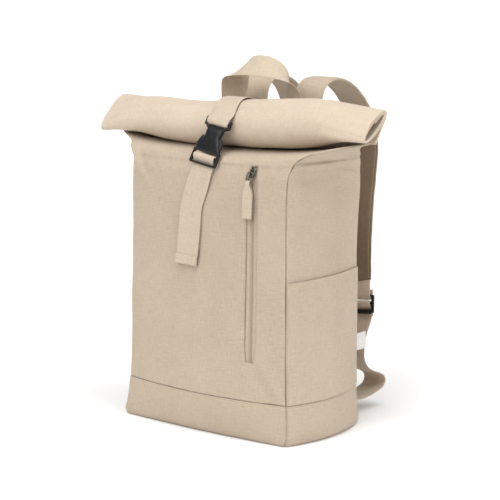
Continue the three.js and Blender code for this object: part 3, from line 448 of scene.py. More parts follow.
# %% Levels of the body
HALF_WIDTH, HALF_DEPTH = 145.0, 84.0
BAND_TOP, MOUTH = 57.0, 390.0
MOUTH_HALF = 214.0
LIFT_LEFT, LIFT_RIGHT = 5.0, 14.0
LEFT_FLATTENS = ((362, 378), (1, 0.35))
NAMES = ("up", "left", "right", "left_back", "right_back", "front", "back",
         "puff_front", "puff_back", "puff_side", "lift", "flare")
PANEL_ROWS = np.array([
    (0.0, 0.924, 1.021, 0.93, 0.972, 1.012, 1.0, 0.21, 0.1, 0.25, 0, 0),
    (0.114, 0.908, 1.017, 0.92, 0.969, 1.012, 1.0, 0.165, 0.08, 0.19, 0, 0),
    (0.33, 0.901, 1.017, 0.91, 0.969, 1.012, 1.0, 0.119, 0.05, 0.12, 0, 0),
    (0.55, 0.883, 1.017, 0.9, 0.972, 1.012, 1.0, 0.083, 0.04, 0.083, 0, 0),
    (0.738, 0.873, 1.017, 0.89, 0.985, 1.012, 1.0, 0.06, 0.04, 0.06, 0, 0),
    (0.865, 0.874, 1.024, 0.89, 1.006, 1.008, 1.0, 0.048, 0.03, 0.06, 0, 0),
    (0.915, 0.877, 1.034, 0.9, 1.014, 0.99, 0.985, 0.04, 0.02, 0.05, 0.1, 0),
    (0.943, 0.885, 1.055, 0.91, 1.035, 0.95, 0.93, 0.035, 0.015, 0.07, 0.2, 0),
    (0.962, 0.87, 1.06, 0.89, 1.038, 0.935, 0.82, 0.03, 0.01, 0.15, 0.35, 0.08),
    (0.978, 0.78, 1.054, 0.79, 1.027, 0.87, 0.63, 0.02, 0.01, 0.17, 0.55, 0.27),
    (0.99, 0.5, 1.038, 0.62, 1.015, 0.67, 0.37, 0.01, 0.0, 0.13, 0.8, 0.58),
    (1.0, 0.8, 1.03, 0.82, 1.01, 0.085, 0.085, 0.0, 0.0, 0.0, 1, 1),
])
BAND_ROWS = np.array([
    (0.0, 0.978, 0.992, 0.975, 0.985, 0.985, 0.985, 0.05, 0.03, 0.19, 0, 0),
    (0.07, 0.993, 1.008, 0.985, 0.995, 1.006, 1.004, 0.07, 0.04, 0.21, 0, 0),
    (0.35, 0.969, 1.034, 0.965, 0.985, 1.02, 1.008, 0.143, 0.07, 0.238, 0, 0),
    (0.7, 0.942, 1.027, 0.945, 0.975, 1.016, 1.003, 0.19, 0.09, 0.25, 0, 0),
    (1.0, 0.924, 1.021, 0.93, 0.972, 1.012, 1.0, 0.21, 0.1, 0.25, 0, 0),
])


# %% [markdown]
# A place on a wall
#
# With the sizes of a level known, any point of a wall is a blend between its two seams, plus a
# puff that is greatest in the middle. The mouth's ends rise, more on the right than on the left.


# %% Sizes at a height, and points on a wall
def level_sizes(rows, up):
    """Every named size, in mm, at the wanted shares of the height."""
    sizes = {}
    flare = rows[:, NAMES.index("flare")]
    for column, name in enumerate(NAMES[1:], start=1):
        values = rows[:, column].copy()
        if name in ("left", "right", "left_back", "right_back"):
            values = values * HALF_WIDTH * (1 - flare) + MOUTH_HALF * flare
        elif name not in ("lift", "flare"):
            values = values * HALF_DEPTH
        sizes[name] = curve_through(values, rows[:, 0], up)
    return sizes


def level_columns(rows, up):
    """The same sizes as columns, to be spread along a wall."""
    return {name: value[:, None] for name, value in level_sizes(rows, up).items()}


def blend(first, second, share):
    """The value that lies the given share of the way from the first to the second."""
    return first + (second - first) * share


def wall(side, sizes, t, height, out=0.0, tuck=0.0):
    """Points on one wall: t is -1 to 1 along it, and out is how far it stands proud, in mm.

    tuck draws the cloth into the corner seams, and a little further along the wall than inward,
    so that the seam stays open as a thin dark line.
    """
    share = (t + 1) / 2
    arch = 1 - t * t
    out = out - tuck
    along = -np.sign(t) * tuck * SEAM_OPEN
    if side == "front":
        x = blend(-sizes["left"], sizes["right"], share) + along
        y = -sizes["front"] - sizes["puff_front"] * arch - out
        across = t
    elif side == "back":
        x = blend(sizes["right_back"], -sizes["left_back"], share) - along
        y = sizes["back"] + sizes["puff_back"] * arch + out
        across = -t
    elif side == "right":
        x = blend(sizes["right"], sizes["right_back"], share) + sizes["puff_side"] * arch + out
        y = blend(-sizes["front"], sizes["back"], share) + along
        across = np.ones_like(t)
    else:
        puff = sizes["puff_side"] * np.interp(height, *LEFT_FLATTENS)
        x = -blend(sizes["left_back"], sizes["left"], share) - puff * arch - out
        y = blend(sizes["back"], -sizes["front"], share) - along
        across = -np.ones_like(t)
    rise = np.where(across < 0, LIFT_LEFT, LIFT_RIGHT)
    z = height + sizes["lift"] * rise * np.minimum(1, np.abs(across)) ** 3
    return points_at(x, y, z)


# %% [markdown]
# Folds
#
# Stiff canvas doesn't ripple evenly. It makes a few long creases where something pulls on it, and
# a soft shadow valley along every seam. Each crease here is one elongated bump with a place, a
# length, a width and a turn, so it can be set against the photograph one by one.


# %% Creases and seam valleys
def crease(x, z, at, long, wide, turn, high):
    """One elongated bump, or a dent where high is negative. The sides fall off smoothly."""
    angle = math.radians(turn)
    u = (x - at[0]) * math.cos(angle) + (z - at[1]) * math.sin(angle)
    v = -(x - at[0]) * math.sin(angle) + (z - at[1]) * math.cos(angle)
    return high * np.exp(-(u / long) ** 2 - (v / wide) ** 2)


SEAM_WIDE, SEAM_DEEP, SEAM_OPEN = 1.4, 2.5, 1.07
HEM_DIP = 0.2


def seam_tuck(distance):
    """How far cloth dips beside a seam, from its distance in mm."""
    return SEAM_DEEP * bell(distance, SEAM_WIDE)


def edge_spread(length, count):
    """Places from -1 to 1 along a wall of that length in mm, close together near both seams."""
    near = np.array([0, 0.8, 1.6, 2.5, 3.6, 5.0, 7.0]) / length * 2
    inner = np.linspace(-1 + near[-1], 1 - near[-1], count)[1:-1]
    return np.concatenate([-1 + near, inner, 1 - near[::-1]])


FRONT_CREASES = [
    ((-118, 366), 34, 5, -52, 2.2), ((-106, 364), 30, 4.5, -56, -2.0), ((-78, 372), 26, 4, -62, 1.6),
    ((-60, 370), 22, 4, -66, -1.4), ((44, 377), 20, 3.5, 8, 1.4), ((62, 380), 22, 3, 4, -1.3),
    ((118, 366), 26, 5, 50, 1.4), ((128, 356), 30, 5, 60, -1.3), ((110, 258), 34, 9, 4, -0.9),
    ((96, 250), 40, 10, 0, 0.7), ((126, 86), 36, 8, -48, 1.3), ((112, 76), 30, 8, -52, -1.2),
    ((-110, 90), 34, 9, 46, 1.5), ((-20, 150), 64, 20, 14, 2.2), ((-70, 230), 56, 22, -22, -2.2),
    ((30, 320), 56, 18, 32, 1.8), ((-96, 300), 20, 56, 10, 1.8), ((50, 210), 22, 60, 4, 1.5),
    ((-40, 280), 60, 12, -38, -1.3), ((20, 110), 50, 12, 30, -1.3),
]
SIDE_CREASES = [
    ((-10, 375.6), 66, 1.9, -1.5, -7.5), ((-12, 379.6), 64, 2.6, -1.5, 4.5),
    ((-26, 370.5), 50, 2.6, -3, 2.2),
    ((34, 365), 46, 4.5, -12, -2.0), ((44, 358), 34, 6, -10, 1.6), ((-30, 352), 46, 10, -12, -2.0),
    ((30, 342), 60, 8, 14, -1.8), ((-52, 340), 8, 40, -6, 1.6), ((20, 300), 50, 18, 20, 2.4),
    ((-10, 262), 50, 13, -12, -2.4), ((40, 150), 14, 50, 6, 1.8), ((-30, 120), 40, 16, -26, -2.0),
    ((10, 190), 56, 18, 12, 1.8), ((62, 96), 10, 34, 8, -1.8),
]


def folds(creases, across, height):
    """All the creases of one wall together, in mm."""
    total = np.zeros(np.broadcast(across, height).shape)
    for at, long, wide, turn, high in creases:
        total = total + crease(across, height, at, long, wide, turn, high)
    return total


print("creases", len(FRONT_CREASES), "in front,", len(SIDE_CREASES), "on a side")


# %% [markdown]
# The panels
#
# Each wall is its own cut of canvas, as on the sewing table: its grid ends at the seams, and dips
# there by the depth of the seam. The front needs one special thing, a slit for the zip. Two of
# its columns are bent to run exactly along the slit's edges, and the faces between are left out.

# %% Front panel
SLIT_X, SLIT_FOOT, SLIT_HEAD = 91.0, 110.0, 373.0
SLIT_PLACES = (110, 127, 300, 350, 368, 376)
SLIT_HALVES = (6, 8.5, 8.5, 8, 5, 3.4)
CANVAS = 2.0
SHELL = 0.6 * CANVAS
WALL_RIPPLE = 22.0


def slit_half(z):
    """Half of the slit's width; it narrows toward both ends."""
    return np.interp(z, SLIT_PLACES, SLIT_HALVES)


def panel_heights():
    """Rows of the panels: close together at the foot and near the roll."""
    low = np.array([57.5, 58.3, 59.3, 60.5, 62, 64, 67])
    body = np.linspace(70, 350, 90)
    top = np.linspace(350, MOUTH, 44)[1:]
    return np.unique(np.concatenate([low, body, top, [SLIT_FOOT, SLIT_HEAD]]))


HEIGHTS = panel_heights()


def share_up(z):
    """Share of the way from the panels' foot to the mouth."""
    return (z - HEIGHTS[0]) / (MOUTH - HEIGHTS[0])


PANEL_SIZES = level_columns(PANEL_ROWS, share_up(HEIGHTS))


def front_columns():
    """Columns for each row, with two of them on the slit's edges."""
    span = PANEL_SIZES["left"] + PANEL_SIZES["right"]
    half_slit = slit_half(HEIGHTS)[:, None]
    low = (SLIT_X - half_slit + PANEL_SIZES["left"]) / span * 2 - 1
    high = (SLIT_X + half_slit + PANEL_SIZES["left"]) / span * 2 - 1
    near = np.array([0, 0.004, 0.008, 0.013, 0.019, 0.027, 0.04])
    before = np.concatenate([near, np.linspace(0.05, 0.985, 84), [0.993, 1.0]])
    between = np.linspace(0, 1, 7)[1:-1]
    after = np.concatenate([[0, 0.03, 0.07], np.linspace(0.1, 0.88, 22), 1 - near[::-1] * 2.2])
    columns = np.concatenate([
        -1 + (low + 1) * before, low + (high - low) * between, high + (1 - high) * after], axis=1)
    return columns, len(before) - 1, len(before) + len(between)


def welt(gap):
    """The folded edge beside the slit: a dip at the edge, then a low ridge."""
    return -1.3 * bell(gap, 1.6) + 0.7 * bell(gap - 4.5, 2.6)


def front_panel():
    """The front's points, and the first and last columns of the slit."""
    t, first, last = front_columns()
    span = PANEL_SIZES["left"] + PANEL_SIZES["right"]
    x = -PANEL_SIZES["left"] + span * (t + 1) / 2
    z = HEIGHTS[:, None]
    beside = np.minimum(t + 1, 1 - t) * span / 2
    hem = z - HEIGHTS[0]
    in_slit = (z > SLIT_FOOT - 1) & (z < SLIT_HEAD + 1)
    gap = np.abs(x - SLIT_X) - slit_half(z)
    out = folds(FRONT_CREASES, x, z) - HEM_DIP * seam_tuck(hem) + np.where(in_slit, welt(gap), 0)
    points = wall("front", PANEL_SIZES, t, z, out, seam_tuck(beside))
    points[..., 1] -= 0.5 * ripple(points * MM, WALL_RIPPLE, 1)
    return points, first, last


front_points, slit_first, slit_last = front_panel()
front = cloth_grid("canvas_front", front_points * MM, canvas_finish)
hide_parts("front_panel")


# %% [markdown]
# Opening the slit
#
# The faces between the two bent columns are deleted before the Solidify modifier is added, so the
# modifier also gives the slit's edges their thickness.


# %% Slit and thickness
def open_slit(mesh):
    """Takes out the faces between the slit's edges."""
    columns = front_points.shape[1] - 1
    rows = [row for row in range(len(HEIGHTS) - 1)
            if HEIGHTS[row] >= SLIT_FOOT and HEIGHTS[row + 1] <= SLIT_HEAD]
    doomed = [mesh.faces[row * columns + column] for row in rows for column in range(slit_first, slit_last)]
    bmesh.ops.delete(mesh, geom=doomed, context="FACES")
    return len(doomed)


opened = edit_mesh(front, open_slit)
thicken(front, SHELL * MM)
print("front panel rows, columns", front_points.shape[:2], "slit faces", opened)


# %% [markdown]
# The other three walls
#
# The back and the two gussets have no opening, so one function makes them all. The left gusset
# has the right one's creases mirrored, without the deep ones under the roll, and the back has
# only the broad dents of the front.

# %% Back panel and the two gussets
SIDE_LENGTH, FRONT_LENGTH = 150, 280
DEEP_SIDE, NARROW_FRONT = 3, 13


def plain_wall(side, count, creases, seed):
    length = SIDE_LENGTH if side in ("left", "right") else FRONT_LENGTH
    t = edge_spread(length, count)[None, :]
    z = HEIGHTS[:, None]
    across = t * length / 2
    out = folds(creases, across, z) - HEM_DIP * seam_tuck(z - HEIGHTS[0])
    points = wall(side, PANEL_SIZES, t, z, out, seam_tuck((1 - np.abs(t)) * length / 2))
    axis = 0 if side in ("left", "right") else 1
    points[..., axis] += 0.6 * ripple(points * MM, WALL_RIPPLE, seed)
    return points


def mirrored_creases(creases):
    """The same creases on a wall that is seen the other way round."""
    return [((-at[0], at[1]), long, wide, -turn, high) for at, long, wide, turn, high in creases]


WALLS = (
    ("canvas_back", "back", "back_panel", 70, mirrored_creases(FRONT_CREASES[NARROW_FRONT:]), 2),
    ("canvas_side_right", "right", "side_panel_right", 60, SIDE_CREASES, 3),
    ("canvas_side_left", "left", "side_panel_left", 60, mirrored_creases(SIDE_CREASES[DEEP_SIDE:]), 4),
)
for name, side, node, count, creases, seed in WALLS:
    panel = cloth_grid(name, plain_wall(side, count, creases, seed) * MM, canvas_finish,
                       thick=SHELL * MM)
    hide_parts(node)
    print(name, len(panel.data.polygons), "faces")

# %% [markdown]
# The bottom band
#
# A second layer of canvas wraps the foot of the bag. Its upper edge is turned in and stitched, so
# it stands a little proud of the panels and throws a thin line of shadow. Its section is a closed
# loop, up the outside and down the inside, and the loop is drawn round all four walls. A floor of
# the same canvas closes it.

# %% Band and floor
BAND_SECTION = np.array([
    (0.6, -9), (0.2, -4), (0.0, -1.2), (0.9, 0), (2.5, 0.4), (4.5, 0.5), (8, 0.5), (13, 0.5),
    (19, 0.5), (26, 0.5), (33, 0.5), (40, 0.5), (46, 0.5), (50, 0.4), (52, 0.2), (53, 0.1),
    (54, 0.2), (55.2, 0.35), (56.2, 0.35), (56.8, 0.15), (57, -0.1), (56.9, -0.5), (56.4, -0.6),
    (46, -0.6), (30, -0.6), (14, -0.6), (3, -0.9), (1.3, -3), (0.6, -9),
])
BAND_STITCH_ROW = list(BAND_SECTION[:, 0]).index(53.0)
FLOOR_HEIGHT, FLOOR_RISE = 1.6, 1.2


def ring_points(rows, height_at, out):
    """A ring of points per level, round all four walls."""
    sizes = level_columns(rows, height_at / BAND_TOP)
    z = height_at[:, None]
    parts = []
    for side, length, count in (("front", FRONT_LENGTH, 90), ("right", SIDE_LENGTH, 50),
                                ("back", FRONT_LENGTH, 90), ("left", SIDE_LENGTH, 50)):
        t = edge_spread(length, count)[None, :-1]
        corner = seam_tuck((1 - np.abs(t)) * length / 2) * 1.1
        parts.append(wall(side, sizes, t, z, out[:, None], corner))
    return np.concatenate(parts, axis=1)


def bottom_band():
    """The band's section carried round the walls, with a slow wave in its middle."""
    points = ring_points(BAND_ROWS, *BAND_SECTION.T)
    wave = ripple(points * MM, 26.0, 6)
    lift = np.clip((points[..., 2] - 2) / 20, 0, 1) * np.clip((57 - points[..., 2]) / 10, 0, 1)
    outward = points[..., :2] / np.linalg.norm(points[..., :2], axis=2, keepdims=True)
    points[..., :2] += outward * (wave * lift * 0.9)[..., None]
    return points


band_points = bottom_band()
band = cloth_grid("canvas_bottom_band", band_points * MM, canvas_finish, wrap=True)
weld(band)
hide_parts("bottom_band")
base_ring = band_points[0]
shares = np.array([0.995, 0.97, 0.9, 0.75, 0.5, 0.25, 0.02])[:, None, None]
floor_points = base_ring[None] * shares
floor_points[..., 2] = FLOOR_HEIGHT + (1 - shares[:, :, 0]) * FLOOR_RISE
base = cloth_grid("canvas_base", floor_points[::-1] * MM, canvas_finish,
                  thick=0.9 * MM, wrap=True)
print("band faces", len(band.data.polygons))

# %% [markdown]
# The rolled mouth
#
# The top of the bag is a flat band, rolled forward on itself. In section it is a spiral that
# flattens toward both ends. The section's size and lean change along the roll by a table, and
# creases run along it where the rolled layers buckle. The spiral has a turn more than the solid,
# so that the inner layers show at its open ends.

# %% Rolled mouth
ROLL_LEFT, ROLL_RIGHT = 239.0, 227.0
ROLL_DEPTH, ROLL_HEIGHT = 76.0, 66.0
ROLL_CLOTH, ROLL_PITCH, ROLL_TURNS = 2.0, 3.1, 2.4
ROLL_START = math.radians(-62)
ROLL_ROWS = np.array([
    (-1, -0.005, 0.45, 0.93, 0.32, 41), (-0.92, -0.03, 0.475, 0.93, 0.4, 37),
    (-0.8, -0.1, 0.49, 0.95, 0.58, 28), (-0.62, -0.17, 0.475, 0.97, 0.74, 19),
    (-0.4, -0.23, 0.44, 1.0, 0.87, 14), (-0.18, -0.25, 0.435, 1.0, 0.92, 12),
    (0.06, -0.26, 0.48, 1.0, 0.99, 12), (0.3, -0.26, 0.505, 1.0, 1.0, 12),
    (0.5, -0.22, 0.54, 1.0, 0.99, 14), (0.7, -0.16, 0.6, 0.97, 0.9, 19),
    (0.84, -0.08, 0.6, 0.92, 0.6, 28), (0.93, -0.02, 0.585, 0.86, 0.42, 34),
    (1, 0.0, 0.57, 0.84, 0.32, 37),
])


def roll_section(along):
    """The table's five values at places along the roll, from -1 to 1."""
    return [curve_through(ROLL_ROWS[:, column], ROLL_ROWS[:, 0], along)[:, None] for column in range(1, 6)]


def roll_x(along):
    return np.where(along < 0, along * ROLL_LEFT, along * ROLL_RIGHT)[:, None]


def roll_surface(along, turn, out):
    """Points on the roll; turn is in whole turns from where the band meets it."""
    middle, rise, deep, high, lean = roll_section(along)
    angle = ROLL_START + turn * 2 * math.pi
    a = deep * ROLL_DEPTH / 2 - ROLL_PITCH * turn + out
    b = high * ROLL_HEIGHT / 2 - ROLL_PITCH * turn + out
    lean = np.radians(lean)
    p = a * np.cos(angle)
    q = b * np.sin(angle)
    x = roll_x(along)
    y = middle * HALF_DEPTH + p * np.cos(lean) - q * np.sin(lean)
    z = MOUTH + rise * ROLL_HEIGHT + p * np.sin(lean) + q * np.cos(lean)
    return points_at(x, y, z)


ROLL_CREASES = [
    ((-150, 0.36), 60, 0.03, 1.8), ((-120, 0.42), 70, 0.025, -1.9), ((120, 0.40), 60, 0.03, 1.7),
    ((150, 0.34), 50, 0.025, -2.0), ((180, 0.46), 50, 0.03, 1.8), ((-190, 0.46), 50, 0.03, -2.0),
    ((60, 0.52), 60, 0.03, -1.7), ((-60, 0.53), 50, 0.03, 1.6), ((15, 0.45), 26, 0.14, -2.2),
    ((90, 0.28), 80, 0.05, 1.6), ((-80, 0.28), 80, 0.05, -1.5), ((200, 0.62), 40, 0.04, -2.0),
    ((-60, 0.42), 44, 0.045, -1.4), ((70, 0.45), 40, 0.04, 1.4), ((-170, 0.56), 50, 0.03, -1.6),
]


# %% [markdown]
# The roll and its stem
#
# The creases are added over the outer turn only, so the layers inside keep their distance. Under
# the roll a short stem of the same cloth comes up from the panels' top edge and leads into it.


# %% Roll and stem
def rolled_mouth():
    """Points of the spiral, one row for each place along the roll."""
    ends = np.array([0, 0.002, 0.005, 0.009, 0.015, 0.023])
    along = np.concatenate([-1 + ends, np.linspace(-0.965, 0.965, 150), 1 - ends[::-1]])
    turn = np.linspace(0, ROLL_TURNS, 170)[None, :]
    x = roll_x(along)
    out = np.zeros((len(along), turn.shape[1]))
    for at, long, wide, high in ROLL_CREASES:
        out += high * np.exp(-((x - at[0]) / long) ** 2 - ((turn - at[1]) / wide) ** 2)
    points = roll_surface(along, turn, 0.0)
    soft = ripple(points * MM, 17.0, 9) * 1.3 + ripple(points * MM, 46.0, 10) * 0.35
    outer = np.clip((1.0 - turn) / 0.2, 0, 1)
    return roll_surface(along, turn, (out + soft - 0.9) * outer)


def stem_rows(roll_points):
    """Points from the mouth of the panels up to the start of the spiral."""
    x = roll_points[:, 0, 0]
    outward = np.abs(x / MOUTH_HALF)
    lift = np.where(x < 0, LIFT_LEFT, LIFT_RIGHT) * np.minimum(1, outward) ** 3
    clear = 1.1 * outward ** 3
    foot = np.stack([x, np.full_like(x, 1.2), MOUTH + lift + clear + 0.3], axis=1)
    steps = np.linspace(0, 1, 7)[:-1, None, None]
    rows = foot[None] * (1 - steps) + roll_points[None, :, 0] * steps
    return rows.transpose(1, 0, 2)


roll_points = rolled_mouth()
roll_grid = np.concatenate([stem_rows(roll_points), roll_points], axis=1)
# The roll gets the lighter canvas, which is painted light.
roll = cloth_grid("canvas_rolled_mouth", roll_grid[:, ::-1] * MM, roll_painted_light_finish,
                  thick=ROLL_CLOTH * MM)
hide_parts("rolled_mouth")
print("roll faces", len(roll.data.polygons))

# %% [markdown]
# The slip pocket
#
# A plain rectangle of canvas covers the lower half of the right gusset. Three of its edges go
# into the seams, and the fourth is its turned hem, which stands slightly away from the gusset.

# %% Slip pocket
POCKET_TOP = 223.0
POCKET_CLOTH = 1.6


def slip_pocket():
    """Points of the pocket, just outside the gusset's own."""
    low = np.array([57.7, 58.5, 59.6, 61, 63])
    z = np.concatenate([low, np.linspace(66, POCKET_TOP - 14, 56),
                        POCKET_TOP - np.array([13, 12, 11, 9, 6, 3, 1.4, 0.4, 0.0])])
    sizes = level_columns(PANEL_ROWS, share_up(z))
    t = edge_spread(SIDE_LENGTH, 60)[None, :] * 0.997
    level = z[:, None]
    stitch = -0.2 * bell(level - (POCKET_TOP - 12), 0.9)
    hem = 0.15 * (level > POCKET_TOP - 11.5) * (1 - t**4)
    out = folds(SIDE_CREASES, t * SIDE_LENGTH / 2, level) - HEM_DIP * seam_tuck(level - HEIGHTS[0])
    out = out + POCKET_CLOTH + 0.4 + stitch + hem + 0.8 * (1 - t**4) * np.clip((level - 150) / 70, 0, 1)
    points = wall("right", sizes, t, level, out, seam_tuck((1 - np.abs(t)) * SIDE_LENGTH / 2))
    points[..., 0] += 0.6 * ripple(points * MM, WALL_RIPPLE, 3) + 0.25 * ripple(points * MM, 60.0, 12)
    points[..., 2] += -1.2 * (1 - t**2) * np.clip((level - 190) / 33, 0, 1)
    return points


pocket = cloth_grid("slip_pocket", slip_pocket() * MM, canvas_finish,
                    thick=0.8 * POCKET_CLOTH * MM)
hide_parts("side_pocket_right")
print("pocket faces", len(pocket.data.polygons))

# %% [markdown]
# Flat webbing
#
# Cotton webbing is a woven ribbon with soft rounded edges. Each strap is a rounded section that
# follows a route of stops, and a smooth curve runs through them. Each stop is a place, the
# direction of the width, the width and the thickness, all in mm.

# %% A ribbon along a route
def smooth_route(stops, step):
    """Stops read at even steps along a smooth curve through them."""
    stops = np.asarray(stops, dtype=float)
    gaps = np.linalg.norm(np.diff(stops[:, :3], axis=0), axis=1)
    places = np.concatenate([[0], np.cumsum(np.sqrt(gaps))])
    fine = np.linspace(0, places[-1], 40 * len(stops))
    dense = np.stack([curve_through(stops[:, c], places, fine) for c in range(8)], axis=1)
    run = np.concatenate([[0], np.cumsum(np.linalg.norm(np.diff(dense[:, :3], axis=0), axis=1))])
    wanted = np.linspace(0, run[-1], max(8, int(run[-1] / step)))
    return np.stack([np.interp(wanted, run, dense[:, c]) for c in range(8)], axis=1), run[-1]


def unit(vectors):
    """The same directions at a length of one."""
    return vectors / np.maximum(np.linalg.norm(vectors, axis=-1, keepdims=True), 1e-9)


def squared(value, power):
    """A sine or cosine bent toward -1 and 1, which squares off a round section."""
    return np.sign(value) * np.abs(value) ** power


def section_outline(half_wide, half_thick, count):
    """A flat section with round edges, as shares along the width and the thickness."""
    angle = -np.linspace(0, 2 * math.pi, count, endpoint=False) - 1e-3
    wide = squared(np.cos(angle), 0.32) * half_wide
    thick = squared(np.sin(angle), 0.7) * half_thick
    return wide, thick


def ribbon_frame(stops, step):
    """The route with its three directions at every step, and its length."""
    route, length = smooth_route(stops, step)
    along = unit(np.gradient(route[:, :3], axis=0))
    across = route[:, 3:6]
    across = unit(across - along * np.sum(across * along, axis=1, keepdims=True))
    return route, along, across, unit(np.cross(across, along)), length


# %% [markdown]
# One function sweeps the section along the route and closes both ends. A groove can be pressed in
# near each edge, which is how the stitched channel of a padded strap looks.


# %% The ribbon itself
def ribbon(name, stops, finish, step=1.6, count=40, waves=0.35, seed=20, groove=0.0):
    route, along, across, face, length = ribbon_frame(stops, step)
    half_wide = route[:, 6, None] / 2
    half_thick = route[:, 7, None] / 2
    wide, thick = section_outline(1.0, 1.0, count)
    end = np.ones(len(route))
    end[0] = end[-1] = 0.25
    flat = wide[None] * half_wide
    deep = thick[None] * half_thick * end[:, None]
    if groove:
        edge = bell(half_wide - np.abs(flat) - 4.0, 1.3)
        deep = deep * (1 - groove * edge)
    points = route[:, None, :3] + across[:, None] * flat[..., None] + face[:, None] * deep[..., None]
    middle = route[:, None, :3] + across[:, None] * flat[..., None]
    swell = ripple(middle * MM, 60.0, seed) * waves
    points = points + face[:, None] * swell[..., None]
    piece = cloth_grid(name, points * MM, finish, wrap=True)
    close_ends(piece, len(route), count)
    return piece, length


def close_ends(piece, rows, count):
    """One face over the first ring of points and one over the last."""
    def add_caps(mesh):
        for start in (0, (rows - 1) * count):
            loop = [mesh.verts[start + place] for place in range(count)]
            mesh.faces.new(loop if start else loop[::-1])

    edit_mesh(piece, add_caps)
    piece.data.shade_smooth()


def stop(x, y, z, across=(1, 0, 0), width=38.0, thick=1.6):
    return (x, y, z, *across, width, thick)


def turned_stops(route, across, low, high, thick=1.6):
    """Stops whose width is turned where the route is between two heights."""
    return [stop(x, y, z, across if low < z < high else (1, 0, 0), 38.0, thick) for x, y, z in route]


# %% [markdown]
# The closure strap
#
# Below the buckle, the webbing is sewn to the front, goes up behind the buckle's foot bar and
# round the bar above it, and comes down again as the tail. Above the buckle it goes over the
# roll to the back. It is pulled taut, so it stays straight and flat between its bends.

# %% Closure strap
BAR = (0.99, -0.06, -0.14)
LOWER_STRAP = [
    (-15.4, -92.53, 256), (-12.31, -91.71, 284.5), (-9.22, -90.88, 313),
    (-2.95, -90.21, 335.8), (2.03, -88.91, 352.9), (6.38, -87.36, 364.32),
    (7.62, -84.14, 371.54), (8.32, -82.61, 375.72), (8.79, -82.64, 378.98),
    (9.17, -82.59, 381.58), (9.32, -84.41, 383.48), (9.17, -87.03, 383.56),
    (8.79, -88.93, 381.78), (8.44, -89.21, 379.47), (8.13, -88.32, 376.91),
    (7.82, -87.09, 374.25), (7.53, -86.34, 371.89), (7.23, -87.02, 370.11),
    (6.38, -89.4, 365.15), (0.2, -92.2, 342), (-9, -93.4, 315), (-11.99, -94.1, 287.4),
    (-14.24, -94.6, 266.7), (-16.4, -95.0, 246.3), (-18, -95.1, 232.5),
]
UPPER_STRAP = [
    (0, 87.14, 350), (0, 86.46, 363.32), (0, 81.42, 372.64), (0, 71.77, 378.96),
    (3.33, 5.98, 448.02), (6.65, -8.78, 455.27), (9.97, -26.03, 456.13),
    (13.3, -42.47, 450.43), (16.63, -54.99, 439.26), (18.2, -61.6, 434),
    (17.4, -65.6, 431.6), (17, -67.64, 429.36), (16.53, -68.93, 426.69),
    (16.15, -68.99, 424.09), (16, -67.17, 422.19), (16.15, -64.54, 422.11),
    (16.53, -62.64, 423.89), (17.31, -60.45, 428.32),
]
lower_strap, lower_length = ribbon(
    "closure_webbing_lower", turned_stops(LOWER_STRAP, BAR, 360, 400), webbing_finish, step=1.3)
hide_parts("closure_strap_lower")
upper_strap, upper_length = ribbon(
    "closure_webbing_upper", turned_stops(UPPER_STRAP, BAR, 400, 433), webbing_finish, step=1.3)
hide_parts("closure_strap_upper")
print("closure webbing lengths", round(lower_length), round(upper_length), "mm")

# %% [markdown]
# The tail's end is turned over twice and stitched, which makes it thicker there. The turned end
# is a short second ribbon on the face of the tail.

# %% Hem of the tail
TAIL_HEM = [
    stop(-16.6, -96.6, 245.5, width=37.6, thick=1.7), stop(-17.2, -96.7, 239, width=37.8, thick=1.8),
    stop(-17.9, -96.5, 233.2, width=37.8, thick=1.9), stop(-18.0, -95.6, 232.2, width=37.6, thick=1.6),
]
hem_length = ribbon("closure_webbing_hem", TAIL_HEM, webbing_finish, step=0.8, seed=23)[1]
print("tail hem", round(hem_length), "mm")

# %% [markdown]
# The grab handle
#
# The handle is one length of the same webbing behind the roll. Each foot lies on the back panel's
# slope, each leg stands with its face to the front, and the arch between them has turned a
# quarter, so its broad face looks up and forward and its shaded inner face shows in the legs.

# %% Grab handle
HANDLE_LEFT = [
    (-52.5, 72, 377.42, 1, 0, -0.007), (-52.5, 64, 381.0, 1, 0, -0.01), (-52.5, 55.5, 383.8, 1, 0, -0.013),
    (-52.5, 52.2, 385.47, 1, 0, 0), (-52.5, 50.4, 387.6, 1, 0, 0), (-52.5, 50, 392, 1, 0, 0),
    (-52.9, 50, 407.38, 0.998, 0.07, 0), (-53.6, 50, 429.78, 0.988, 0.156, 0),
    (-53.6, 50, 448.83, 0.97, 0.242, 0), (-51.8, 49.28, 462.27, 0.912, 0.406, 0.052),
    (-47.77, 47.48, 473.47, 0.734, 0.661, 0.156), (-40.95, 43.52, 483.56, 0.427, 0.837, 0.342),
    (-29.93, 38.48, 491.4, 0.162, 0.832, 0.53), (-15.75, 33.8, 495.88, 0.026, 0.754, 0.656),
    (0, 32, 497, 0, 0.719, 0.695),
]
HANDLE_ROUTE = HANDLE_LEFT + [(-x, y, z, -ax, ay, az) for x, y, z, ax, ay, az in HANDLE_LEFT[-2::-1]]
handle_stops = [stop(x, y, z, (ax, ay, az)) for x, y, z, ax, ay, az in HANDLE_ROUTE]
handle, handle_length = ribbon("grab_handle_webbing", handle_stops, webbing_finish, seed=24)
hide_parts("handle")
print("handle length", round(handle_length), "mm")
